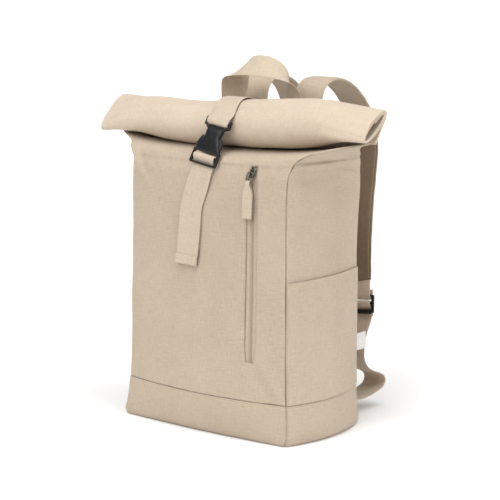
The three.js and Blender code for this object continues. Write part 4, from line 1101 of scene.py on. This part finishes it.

# %% [markdown]
# The shoulder straps
#
# These are canvas tubes with a thin foam pad inside, flat enough to be made as a ribbon with a
# stitched channel near each edge. Their inner face gets a darker brown as painted shade, up to where it
# passes behind the roll. The left one is the right one mirrored, as it is cut. Below each pad a
# short end of webbing goes round the adjuster's bar, and the lower webbing comes back to the bag.

# %% Routes of the straps
STRAP_ROUTE = [
    (48.5, 89.47, 352, 49, 5), (48.5, 89.47, 364.4, 49, 5), (48.5, 90.03, 401.6, 49, 5),
    (48.5, 89.47, 431.36, 49, 5), (48.5, 90.6, 449.96, 49, 5), (49.02, 96.25, 463.6, 49, 5),
    (49.54, 106.98, 472.28, 49, 5), (50.06, 122.24, 476, 49, 5), (50.58, 140.32, 474.14, 49, 5),
    (51.62, 159.53, 466.08, 49, 5), (53.18, 177.61, 452.44, 49, 5), (55.78, 190.04, 437.56, 49, 5),
    (58.9, 198.51, 421.44, 49, 5), (63.06, 202.47, 399.12, 49, 5), (67.74, 199.08, 369.36, 49, 5),
    (72.42, 187.78, 329.6, 49, 5), (77.1, 176.48, 299.2, 49, 5), (84.9, 161.79, 252.8, 48.6, 5),
    (91.66, 152.75, 216, 46.5, 4.8), (97.0, 147.9, 197, 43.5, 4.2), (100.2, 144.6, 186.5, 41, 3.4),
]
STRAP_END = [
    (97.9, 147.4, 195.2), (100.6, 144.2, 185.5), (103.03, 141.14, 177.13), (103.62, 139.7, 171.32),
    (103.92, 139.33, 168.35), (104.3, 139.9, 164.6), (104.4, 142.2, 162.6), (104.3, 144.8, 163.6),
    (103.92, 146.13, 167.26), (103.03, 147.84, 176.06),
]
WING_ROUTE = [
    (106.87, 143.05, 137.52), (105.74, 144.86, 148.82), (105.3, 145.27, 153.29), (105, 144.4, 156.46),
    (104.76, 143.79, 159.01), (104.66, 141.54, 160.38), (104.76, 138.98, 159.78), (105, 137.6, 157.54),
    (105.22, 137.94, 155.22), (105.42, 139.44, 152.97), (105.61, 141.31, 150.7), (105.79, 142.64, 148.6),
    (106.16, 142.16, 144.97), (106.87, 141.02, 137.85), (104.3, 130.31, 109.9), (103.6, 128.39, 92.63),
    (102.9, 130.31, 78.5), (102.2, 139.91, 65.94), (101.85, 155.27, 57.3), (101.5, 171.59, 51.02),
    (101.5, 182.15, 44.74), (101.15, 185.03, 36.9), (100.8, 180.23, 29.83), (100.1, 167.75, 25.12),
    (99.4, 148.55, 21.51), (98.7, 129.35, 20.41), (98.35, 108.23, 23.55), (98, 89.43, 30),
]
LOCK_ACROSS = (0.995, 0.016, 0.097)
# The painted shade on the straps' inner faces stops at this height, where they pass behind the roll.
PAINTED_SHADE_TOP = 432.0


# %% [markdown]
# Two finishes on one piece need two material slots. Each face of the pad is asked which way it
# looks, and those that look toward the bag get the darker brown, which is painted shade.


# %% Shoulder straps and lower webbing
def paint_shade_on_inner_face(strap):
    """Paints shade, a darker brown, on the faces that look toward the bag, and counts them."""
    strap.data.materials.append(painted_shade_finish)
    inner = 0
    for face in strap.data.polygons:
        facing = face.normal.y < -0.5 and face.center.z < PAINTED_SHADE_TOP * MM
        face.material_index = 1 if facing else 0
        inner += facing
    return inner


def mirrored_stops(stops):
    return [(-x, y, z, ax, -ay, -az, wide, thick) for x, y, z, ax, ay, az, wide, thick in stops]


def side_stops(side):
    strap = [stop(x, y, z, width=wide, thick=thick) for x, y, z, wide, thick in STRAP_ROUTE]
    end = turned_stops(STRAP_END, LOCK_ACROSS, 0, 180, 1.7)
    routes = (strap, end, turned_stops(WING_ROUTE, LOCK_ACROSS, 130, 200))
    return routes if side == "right" else [mirrored_stops(route) for route in routes]


for side, seed in (("right", 30), ("left", 40)):
    strap_stops, end_stops, wing_stops = side_stops(side)
    strap, strap_length = ribbon(f"shoulder_strap_pad_{side}", strap_stops, canvas_finish,
                                 step=2.4, count=56, waves=0.5, seed=seed, groove=0.45)
    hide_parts(f"shoulder_strap_{side}")
    print("faces with painted shade", paint_shade_on_inner_face(strap))
    ribbon(f"shoulder_strap_end_{side}", end_stops, webbing_finish, step=1.4, seed=seed + 1)
    wing, wing_length = ribbon(f"lower_webbing_loop_{side}", wing_stops, webbing_finish,
                               step=1.6, seed=seed + 2)
    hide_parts(f"lower_webbing_{side}")
    print(side, "strap", round(strap_length), "webbing", round(wing_length), "mm")

# %% [markdown]
# Moulded plastic
#
# A buckle has no sharp edges, because it comes out of a mould. Its bars and its hollow body are
# put together from simple closed shapes that overlap, a voxel remesh melts them into one skin,
# and a little smoothing rounds every corner as the mould does.


# %% A frame for flat hardware
class FlatFrame:
    """Axes of a flat piece in mm: w across, s down the piece and n out of its face."""

    def __init__(self, top, foot):
        self.top = np.array(top, dtype=float)
        self.down = unit(np.array(foot, dtype=float) - self.top)
        self.across = unit(np.array([1.0, 0, 0]) - self.down * self.down[0])
        self.out = unit(np.cross(self.down, self.across))

    def place(self, wsn):
        w, s, n = (np.asarray(wsn, dtype=float)[..., i, None] for i in range(3))
        return self.top + self.across * w + self.down * s + self.out * n


# %% [markdown]
# Three closed shapes are enough for all the plastic here: a block for bars and frames, a loft for
# the crowned body, and a round-ended rod for ears, buttons and soft edges.


# %% Closed shapes to melt together
def block(w0, w1, s0, s1, n0, n1):
    """A closed box in a flat frame."""
    corners = [(w, s, n) for w in (w0, w1) for s in (s0, s1) for n in (n0, n1)]
    faces = [(0, 1, 3, 2), (4, 6, 7, 5), (0, 4, 5, 1), (2, 3, 7, 6), (0, 2, 6, 4), (1, 5, 7, 3)]
    return corners, faces


def both_sides(solid):
    """The shape and its mirror image across the piece's middle."""
    corners, faces = solid
    return [solid, ([(-w, s, n) for w, s, n in corners], [face[::-1] for face in faces])]


def tube_faces(rings, count, start=0):
    """Faces of a closed tube whose points are numbered ring after ring."""
    faces = []
    for first in range(start, start + (rings - 1) * count, count):
        for place in range(count):
            after = (place + 1) % count
            faces.append((first + place, first + count + place, first + count + after, first + after))
    last = start + (rings - 1) * count
    return faces + [tuple(range(start, start + count)), tuple(range(last, last + count))[::-1]]


def lofted(sections, count=40, square=0.55):
    """A closed shape through sections (s, half width, half thickness, middle of thickness)."""
    angle = np.linspace(0, 2 * math.pi, count, endpoint=False)
    wide = squared(np.cos(angle), square)
    thick = squared(np.sin(angle), square)
    corners = []
    for s, half_wide, half_thick, middle in sections:
        corners += [(w * half_wide, s, middle + n * half_thick) for w, n in zip(wide, thick)]
    return corners, tube_faces(len(sections), count)


def pill(w0, s0, w1, s1, radius, n0=0.0, n1=0.0, flat=1.0, count=14, rings=7):
    """A round-ended rod between two places of a flat frame, flattened in its thickness."""
    start, end = np.array([w0, s0, n0]), np.array([w1, s1, n1])
    along = unit(end - start)
    side = unit(np.cross(along, [0, 0, 1.0]))
    up = np.cross(side, along)
    corners, faces = [], []
    tilt = np.linspace(-math.pi / 2, math.pi / 2, 2 * rings)
    for k, value in enumerate(tilt):
        centre = start if k < rings else end
        for place in range(count):
            turn = 2 * math.pi * place / count
            spot = centre + along * math.sin(value) * radius
            spot = spot + side * math.cos(value) * radius * math.cos(turn)
            spot = spot + up * math.cos(value) * radius * flat * math.sin(turn)
            corners.append(tuple(spot))
    for k in range(2 * rings - 1):
        for place in range(count):
            after = (place + 1) % count
            low, high = k * count, (k + 1) * count
            faces.append((low + place, low + after, high + after, high + place))
    return corners, faces


# %% [markdown]
# The rough shapes go into one mesh. A Remesh modifier with a fine voxel turns them into one skin,
# and a Smooth modifier rounds its corners. Both are worked out once, so the piece is plain mesh.


# %% Melting
def melted(name, solids, flat_frame, finish, voxel, smoothing=5):
    """Overlapping closed shapes melted into one smooth skin."""
    points, faces = [], []
    for corners, sides in solids:
        base = len(points)
        points += list(corners)
        faces += [tuple(base + place for place in side) for side in sides]
    mesh = bpy.data.meshes.new(name + "_rough")
    mesh.from_pydata((flat_frame.place(points) * MM).tolist(), [], faces)
    rough = bpy.data.objects.new(name + "_rough", mesh)
    bpy.context.collection.objects.link(rough)
    remesh = rough.modifiers.new("melt", "REMESH")
    remesh.mode = "VOXEL"
    remesh.voxel_size = voxel * MM
    smooth = rough.modifiers.new("round", "SMOOTH")
    smooth.factor = 0.5
    smooth.iterations = smoothing
    graph = bpy.context.evaluated_depsgraph_get()
    skin = bpy.data.meshes.new_from_object(rough.evaluated_get(graph))
    skin.name = name
    bpy.data.objects.remove(rough)
    skin.materials.clear()
    piece = add_object(name, skin, finish)
    print(name, len(skin.polygons), "faces")
    return piece


# %% [markdown]
# The side-release buckle
#
# The upper half has two ears, a bar for the webbing and a shallow cup that narrows to a neck. The
# lower half is a smooth crowned body that widens to a ladder of two bars. The two pressed buttons
# at its sides are rounder, so they catch the light.

# %% Buckle
buckle_frame = FlatFrame((17, -64.583, 428), (7, -90.41, 370))
MALE_BAR, WRAP_BAR, FOOT_EDGE = 3.0, 52.77, 61.27

male_solids = [
    block(-22.3, 22.3, MALE_BAR - 1.3, MALE_BAR + 1.3, -1.6, 1.6),
    block(-20.6, 20.6, 7.9, 10.2, -1.7, 1.0),
    *both_sides(block(20.1, 22.4, -1.4, 9.4, -1.9, 2.3)),
    *both_sides(pill(21.2, -1.6, 21.2, 2.0, 1.3, 0.6, 0.6, flat=1.5)),
    *both_sides(pill(20.6, 6.5, 13.2, 13.0, 1.7, 0.8, 0.8, flat=1.5)),
    lofted([(8.6, 20.6, 1.0, -1.0), (10.5, 17.6, 1.1, -0.8), (13.0, 14.0, 1.5, -0.2),
            (15.6, 12.2, 2.0, 0)]),
    lofted([(12.2, 11.0, 1.6, 0), (30, 11.0, 1.6, 0), (34.6, 7.5, 1.5, 0)]),
]
male = melted("buckle_upper_half", male_solids, buckle_frame, plastic_finish, 0.42, 4)
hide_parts("buckle_male")

BODY_SECTIONS = [
    (13.2, 13.6, 3.0, 0), (14.0, 14.2, 3.7, 0.1), (17.0, 14.0, 4.3, 0.2), (21.0, 13.4, 4.5, 0.2),
    (25.0, 13.6, 4.6, 0.2), (29.0, 15.4, 4.6, 0.1), (33.0, 18.2, 4.5, 0), (37.0, 20.3, 4.3, 0),
    (41.0, 21.5, 3.9, -0.1), (44.5, 22.3, 3.2, -0.3), (46.6, 22.4, 2.2, -0.5),
]
female_solids = [
    lofted(BODY_SECTIONS),
    *both_sides(pill(16.4, 26.5, 20.2, 36.0, 2.5, 0.4, 0.4, flat=1.15)),
    *both_sides(block(20.2, 24.2, 43.5, 63.0, -1.7, 1.7)),
    block(-22, 22, WRAP_BAR - 1.4, WRAP_BAR + 1.4, -1.7, 1.7),
    block(-23.0, 23.0, FOOT_EDGE + 0.1, FOOT_EDGE + 2.8, -1.7, 1.9),
    *both_sides(pill(22.4, 60.0, 22.0, 62.3, 1.9, 0, 0)),
]
female = melted("buckle_lower_half", female_solids, buckle_frame, plastic_finish, 0.45, 5)
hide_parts("buckle_female")

# %% [markdown]
# The strap adjusters
#
# A ladder lock is a flat frame with a wide slot, a middle bar and a broad lip. One is melted in
# place on the right, and its mirror image hangs on the left.

# %% Ladder locks
lock_frame = FlatFrame((105, 141, 157), (105.1, 140.84, 156))
lock_solids = [
    block(-23.2, 23.2, -12.4, -9.6, -1.7, 1.7),
    *both_sides(block(20.1, 23.9, -11.0, 13.0, -1.7, 1.7)),
    block(-22, 22, -1.4, 1.4, -1.7, 1.7),
    block(-23.0, 23.0, 8.7, 12.6, -1.7, 1.7),
    *both_sides(pill(21.8, 12.0, 16.0, 13.2, 1.8)),
    block(-20.5, 20.5, 11.4, 14.9, -1.5, 1.9),
]
lock_right = melted("ladder_lock_right", lock_solids, lock_frame, plastic_finish, 0.5, 4)
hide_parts("strap_adjuster_right")
lock_mesh = lock_right.data.copy()
lock_mesh.transform(Matrix.Scale(-1, 4, (1, 0, 0)))
lock_mesh.flip_normals()
lock_mesh.materials.clear()
lock_left = add_object("ladder_lock_left", lock_mesh, plastic_finish)
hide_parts("strap_adjuster_left")

# %% [markdown]
# The front zip
#
# Behind the slit lies a woven tape, and in its middle runs a coil of nylon teeth. The teeth are
# one bent thread in the real zip. Here each is a small bridge across the middle, at the real
# spacing of a coil zip.

# %% Tape and teeth
TAPE_HALF, TAPE_END = 15.0, 6.0
TEETH_PITCH = 1.5


def front_depth(x, z):
    """The front wall's y at places given by x and height."""
    x, z = np.broadcast_arrays(np.asarray(x, dtype=float), np.asarray(z, dtype=float))
    sizes = level_sizes(PANEL_ROWS, share_up(z.ravel()))
    t = (x.ravel() + sizes["left"]) / (sizes["left"] + sizes["right"]) * 2 - 1
    y = -sizes["front"] - sizes["puff_front"] * (1 - t * t)
    return y.reshape(x.shape)


def canvas_cut(z):
    """How much deeper, level, the leaning front is than its cloth."""
    return CANVAS * np.interp(z, [345, 362, 371, 382], [1, 1.05, 1.25, 1.5])


def zip_tape():
    x = np.linspace(-TAPE_HALF, TAPE_HALF, 31)[None, :]
    z = np.linspace(SLIT_FOOT - TAPE_END, SLIT_HEAD + 3 + TAPE_END, 180)[:, None]
    y = front_depth(SLIT_X + x, z) + canvas_cut(z) + 0.5
    y = y + 0.5 * bell(np.abs(x) - 3.4, 0.6)
    return points_at(SLIT_X + x, y, z)


tape = cloth_grid("zip_tape_cloth", zip_tape() * MM, tape_finish, thick=0.7 * MM)
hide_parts("zip_tape")
teeth_finish = mottled(
    "zip_teeth_nylon", srgb(172, 153, 128), srgb(202, 184, 160), 900.0, 0.42, (0.03, 0.4)).material
print("tape faces", len(tape.data.polygons))

# %% [markdown]
# Teeth and stitches are the same small thing many times over: a short rod with round ends. All of
# one kind go into a single mesh, which is far quicker than an object for each.


# %% Small rods
def small_rods(name, starts, ends, radius, finish, normals=None, flat=1.0):
    """Many small round-ended rods as one mesh: teeth, and stitches of thread."""
    sides = 6
    rings = ((0.0, 0.35), (0.18, 1.0), (0.82, 1.0), (1.0, 0.35))
    starts, ends = np.asarray(starts), np.asarray(ends)
    along = unit(ends - starts)
    guide = np.asarray(normals) if normals is not None else np.tile([0.0, -1.0, 0.0], (len(starts), 1))
    side = unit(np.cross(along, guide))
    up = unit(np.cross(side, along))
    vertices = []
    for share, size in rings:
        centre = starts + (ends - starts) * share
        for turn in np.linspace(0, 2 * math.pi, sides, endpoint=False):
            offset = side * math.cos(turn) + up * math.sin(turn) * flat
            vertices.append(centre + offset * radius * size)
    points = np.stack(vertices, axis=1).reshape(-1, 3)
    faces = []
    for rod in range(len(starts)):
        faces += tube_faces(len(rings), sides, rod * len(rings) * sides)
    mesh = bpy.data.meshes.new(name)
    mesh.from_pydata((points * MM).tolist(), [], faces)
    return add_object(name, mesh, finish)


# %% [markdown]
# The coil lies in the slit's middle, just in front of the tape. Each tooth leans a little, because
# it is one turn of a spiral.


# %% Coil
def zip_coil():
    """Both ends of every tooth."""
    z = np.arange(SLIT_FOOT + 1, SLIT_HEAD - 1, TEETH_PITCH)
    y = front_depth(SLIT_X, z) + canvas_cut(z) - 0.2
    left = np.stack([np.full_like(z, SLIT_X - 2.4), y, z + 0.3], axis=1)
    right = np.stack([np.full_like(z, SLIT_X + 2.4), y, z - 0.3], axis=1)
    return left, right


teeth_left, teeth_right = zip_coil()
coil = small_rods("zip_coil_teeth", teeth_left, teeth_right, 0.52, teeth_finish)
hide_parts("zip_coil")
print("teeth", len(teeth_left))

# %% [markdown]
# The slider, its ring and the pull tab
#
# The slider is two small plates with a bridge on top. An oval wire ring hangs in the bridge, and
# a folded strip of webbing is sewn round the ring as a tab. The tab stands a few millimetres off
# the panel at its end, so its shadow falls to the right.

# %% Slider
slider_frame = FlatFrame((91, -85.67, 365), (91, -86.157, 364))


def slider_plate(shoulder, waist, middle):
    """One of the slider's two plates, widest where the coil's halves come in."""
    sections = [(-6.8, 2.6, 0.5, middle), (-3.5, shoulder, 0.55, middle), (2.0, waist, 0.55, middle),
                (6.8, 3.2, 0.5, middle)]
    return lofted(sections, 24, 0.6)


slider_solids = [
    slider_plate(4.4, 3.9, 0.95),
    slider_plate(4.2, 3.8, -0.9),
    *both_sides(block(2.6, 3.6, -1.0, 6.4, -1.2, 1.2)),
    block(-1.2, 1.2, -6.4, -2.0, -1.2, 1.2),
    pill(0, -4.0, 0, -3.4, 1.2, 1.2, 5.6),
    pill(0, 4.0, 0, 3.4, 1.2, 1.2, 5.6),
    pill(0, -3.2, 0, 3.2, 1.1, 5.9, 5.9),
]
slider = melted("zip_slider_body", slider_solids, slider_frame, metal_finish, 0.24, 3)
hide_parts("zip_slider")

# %% [markdown]
# The ring is a wire bent to a soft rectangle. A circle of points is carried round it, and the
# last circle is welded to the first.

# %% Wire ring
ring_frame = FlatFrame((91, -88.91, 366.577), (90.74, -88.98, 365.61))
RING_WIRE, RING_HALF_WIDE, RING_HALF_LONG = 0.85, 5.2, 8.2


def wire_ring():
    turn = np.linspace(0, 2 * math.pi, 49)[:-1]
    square = 0.86
    w = squared(np.cos(turn), square) * RING_HALF_WIDE
    s = RING_HALF_LONG - squared(np.sin(turn), square) * RING_HALF_LONG
    centre = np.stack([w, s, np.zeros_like(w)], axis=1)
    along = unit(np.roll(centre, -1, axis=0) - np.roll(centre, 1, axis=0))
    face = np.array([0, 0, 1.0])
    side = unit(np.cross(along, face))
    around = np.linspace(0, 2 * math.pi, 12, endpoint=False)[None, :, None]
    circle = side[:, None] * np.cos(around) + face * np.sin(around)
    points = centre[:, None] + circle * RING_WIRE
    return ring_frame.place(np.concatenate([points, points[:1]], axis=0))


ring = cloth_grid("zip_pull_wire_ring", wire_ring() * MM, metal_finish, wrap=True)
weld(ring)
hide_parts("zip_pull_ring")

# %% [markdown]
# The tab's strip starts at the lower end, narrows where it goes through the ring, and comes back
# down in front of itself.

# %% Pull tab
TAB_X = 87.0
TAB_ROUTE = [
    (-92.45, 304.27, 16), (-91.3, 320, 16), (-90.19, 336.69, 16), (-89.87, 341.18, 14), (-88.45, 347.85, 8),
    (-88.06, 353.46, 7.4), (-89.73, 354.7, 7.4), (-91.55, 353.7, 7.4), (-91.95, 348.09, 8),
    (-91.67, 341.29, 14), (-91.9, 336.8, 16), (-93.0, 320, 16), (-94.05, 304.38, 16),
]
tab_stops = [stop(TAB_X, y, z, width=wide, thick=1.3) for y, z, wide in TAB_ROUTE]
tab, tab_length = ribbon(
    "zip_pull_tab_webbing", tab_stops, webbing_finish, step=0.8, seed=50, waves=0.2)
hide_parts("zip_pull_tab")
print("tab strip", round(tab_length), "mm long before folding")

# %% [markdown]
# The label
#
# A small white satin label, folded in two, is caught in the back right seam. It is left blank.

# %% Blank label
LABEL_HEIGHT = 24.0
LABEL_ROUTE = [(139.5, 85.0), (139.4, 92), (139.35, 100), (139.4, 105.6), (139.8, 106.7), (140.2, 105.6),
               (140.3, 100), (140.25, 92), (140.1, 85.0)]
label_stops = [stop(x, y, 115, (0, 0, 1), LABEL_HEIGHT, 0.35) for x, y in LABEL_ROUTE]
label, label_length = ribbon(
    "blank_seam_label", label_stops, label_finish, step=0.8, seed=60, waves=0.25)
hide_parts("side_label")
print("label", round(label_length), "mm before folding")

# %% [markdown]
# Stitches
#
# Thread is what makes a sewn thing look sewn. Each stitch is a small round-ended rod of thread
# that lies in the dip it has pulled into the cloth, about three to the centimetre.

# %% Stitches
STITCH, STITCH_GAP, THREAD_RADIUS = 2.6, 0.9, 0.32


def stitched(name, line, normals, proud=0.15):
    """Stitches along a line of points, lying on the cloth."""
    line, normals = np.asarray(line, dtype=float), unit(np.asarray(normals, dtype=float))
    run = np.concatenate([[0], np.cumsum(np.linalg.norm(np.diff(line, axis=0), axis=1))])
    begins = np.arange(1.5, run[-1] - STITCH, STITCH + STITCH_GAP)

    def read(values, at):
        return np.stack([np.interp(at, run, values[:, c]) for c in range(3)], axis=1)

    lifted = line + normals * proud
    return small_rods(name, read(lifted, begins), read(lifted, begins + STITCH), THREAD_RADIUS,
                      thread_finish, normals=read(normals, begins), flat=0.7)


band_line = band_points[BAND_STITCH_ROW]
outward = band_line * np.array([1, 1, 0])
stitched("band_stitches", band_line, outward)


def strap_stitches(name, stops, inset, sides=(1,)):
    """A row near each edge of a strap, on each of the wanted sides."""
    route, along, across, face, _ = ribbon_frame(stops, 2.4)
    for edge, edge_name in ((-1, "left"), (1, "right")):
        for outside in sides:
            line = route[:, :3] + across * edge * (route[:, 6, None] / 2 - inset)
            line = line + face * outside * route[:, 7, None] / 2 * 0.6
            face_name = "out" if outside > 0 else "in"
            stitched(f"{name}_{edge_name}_{face_name}", line, face * outside, proud=0.1)


for side in ("right", "left"):
    pad_stops = side_stops(side)[0]
    strap_stitches(f"strap_stitches_{side}", pad_stops, 4.0, sides=(1, -1))
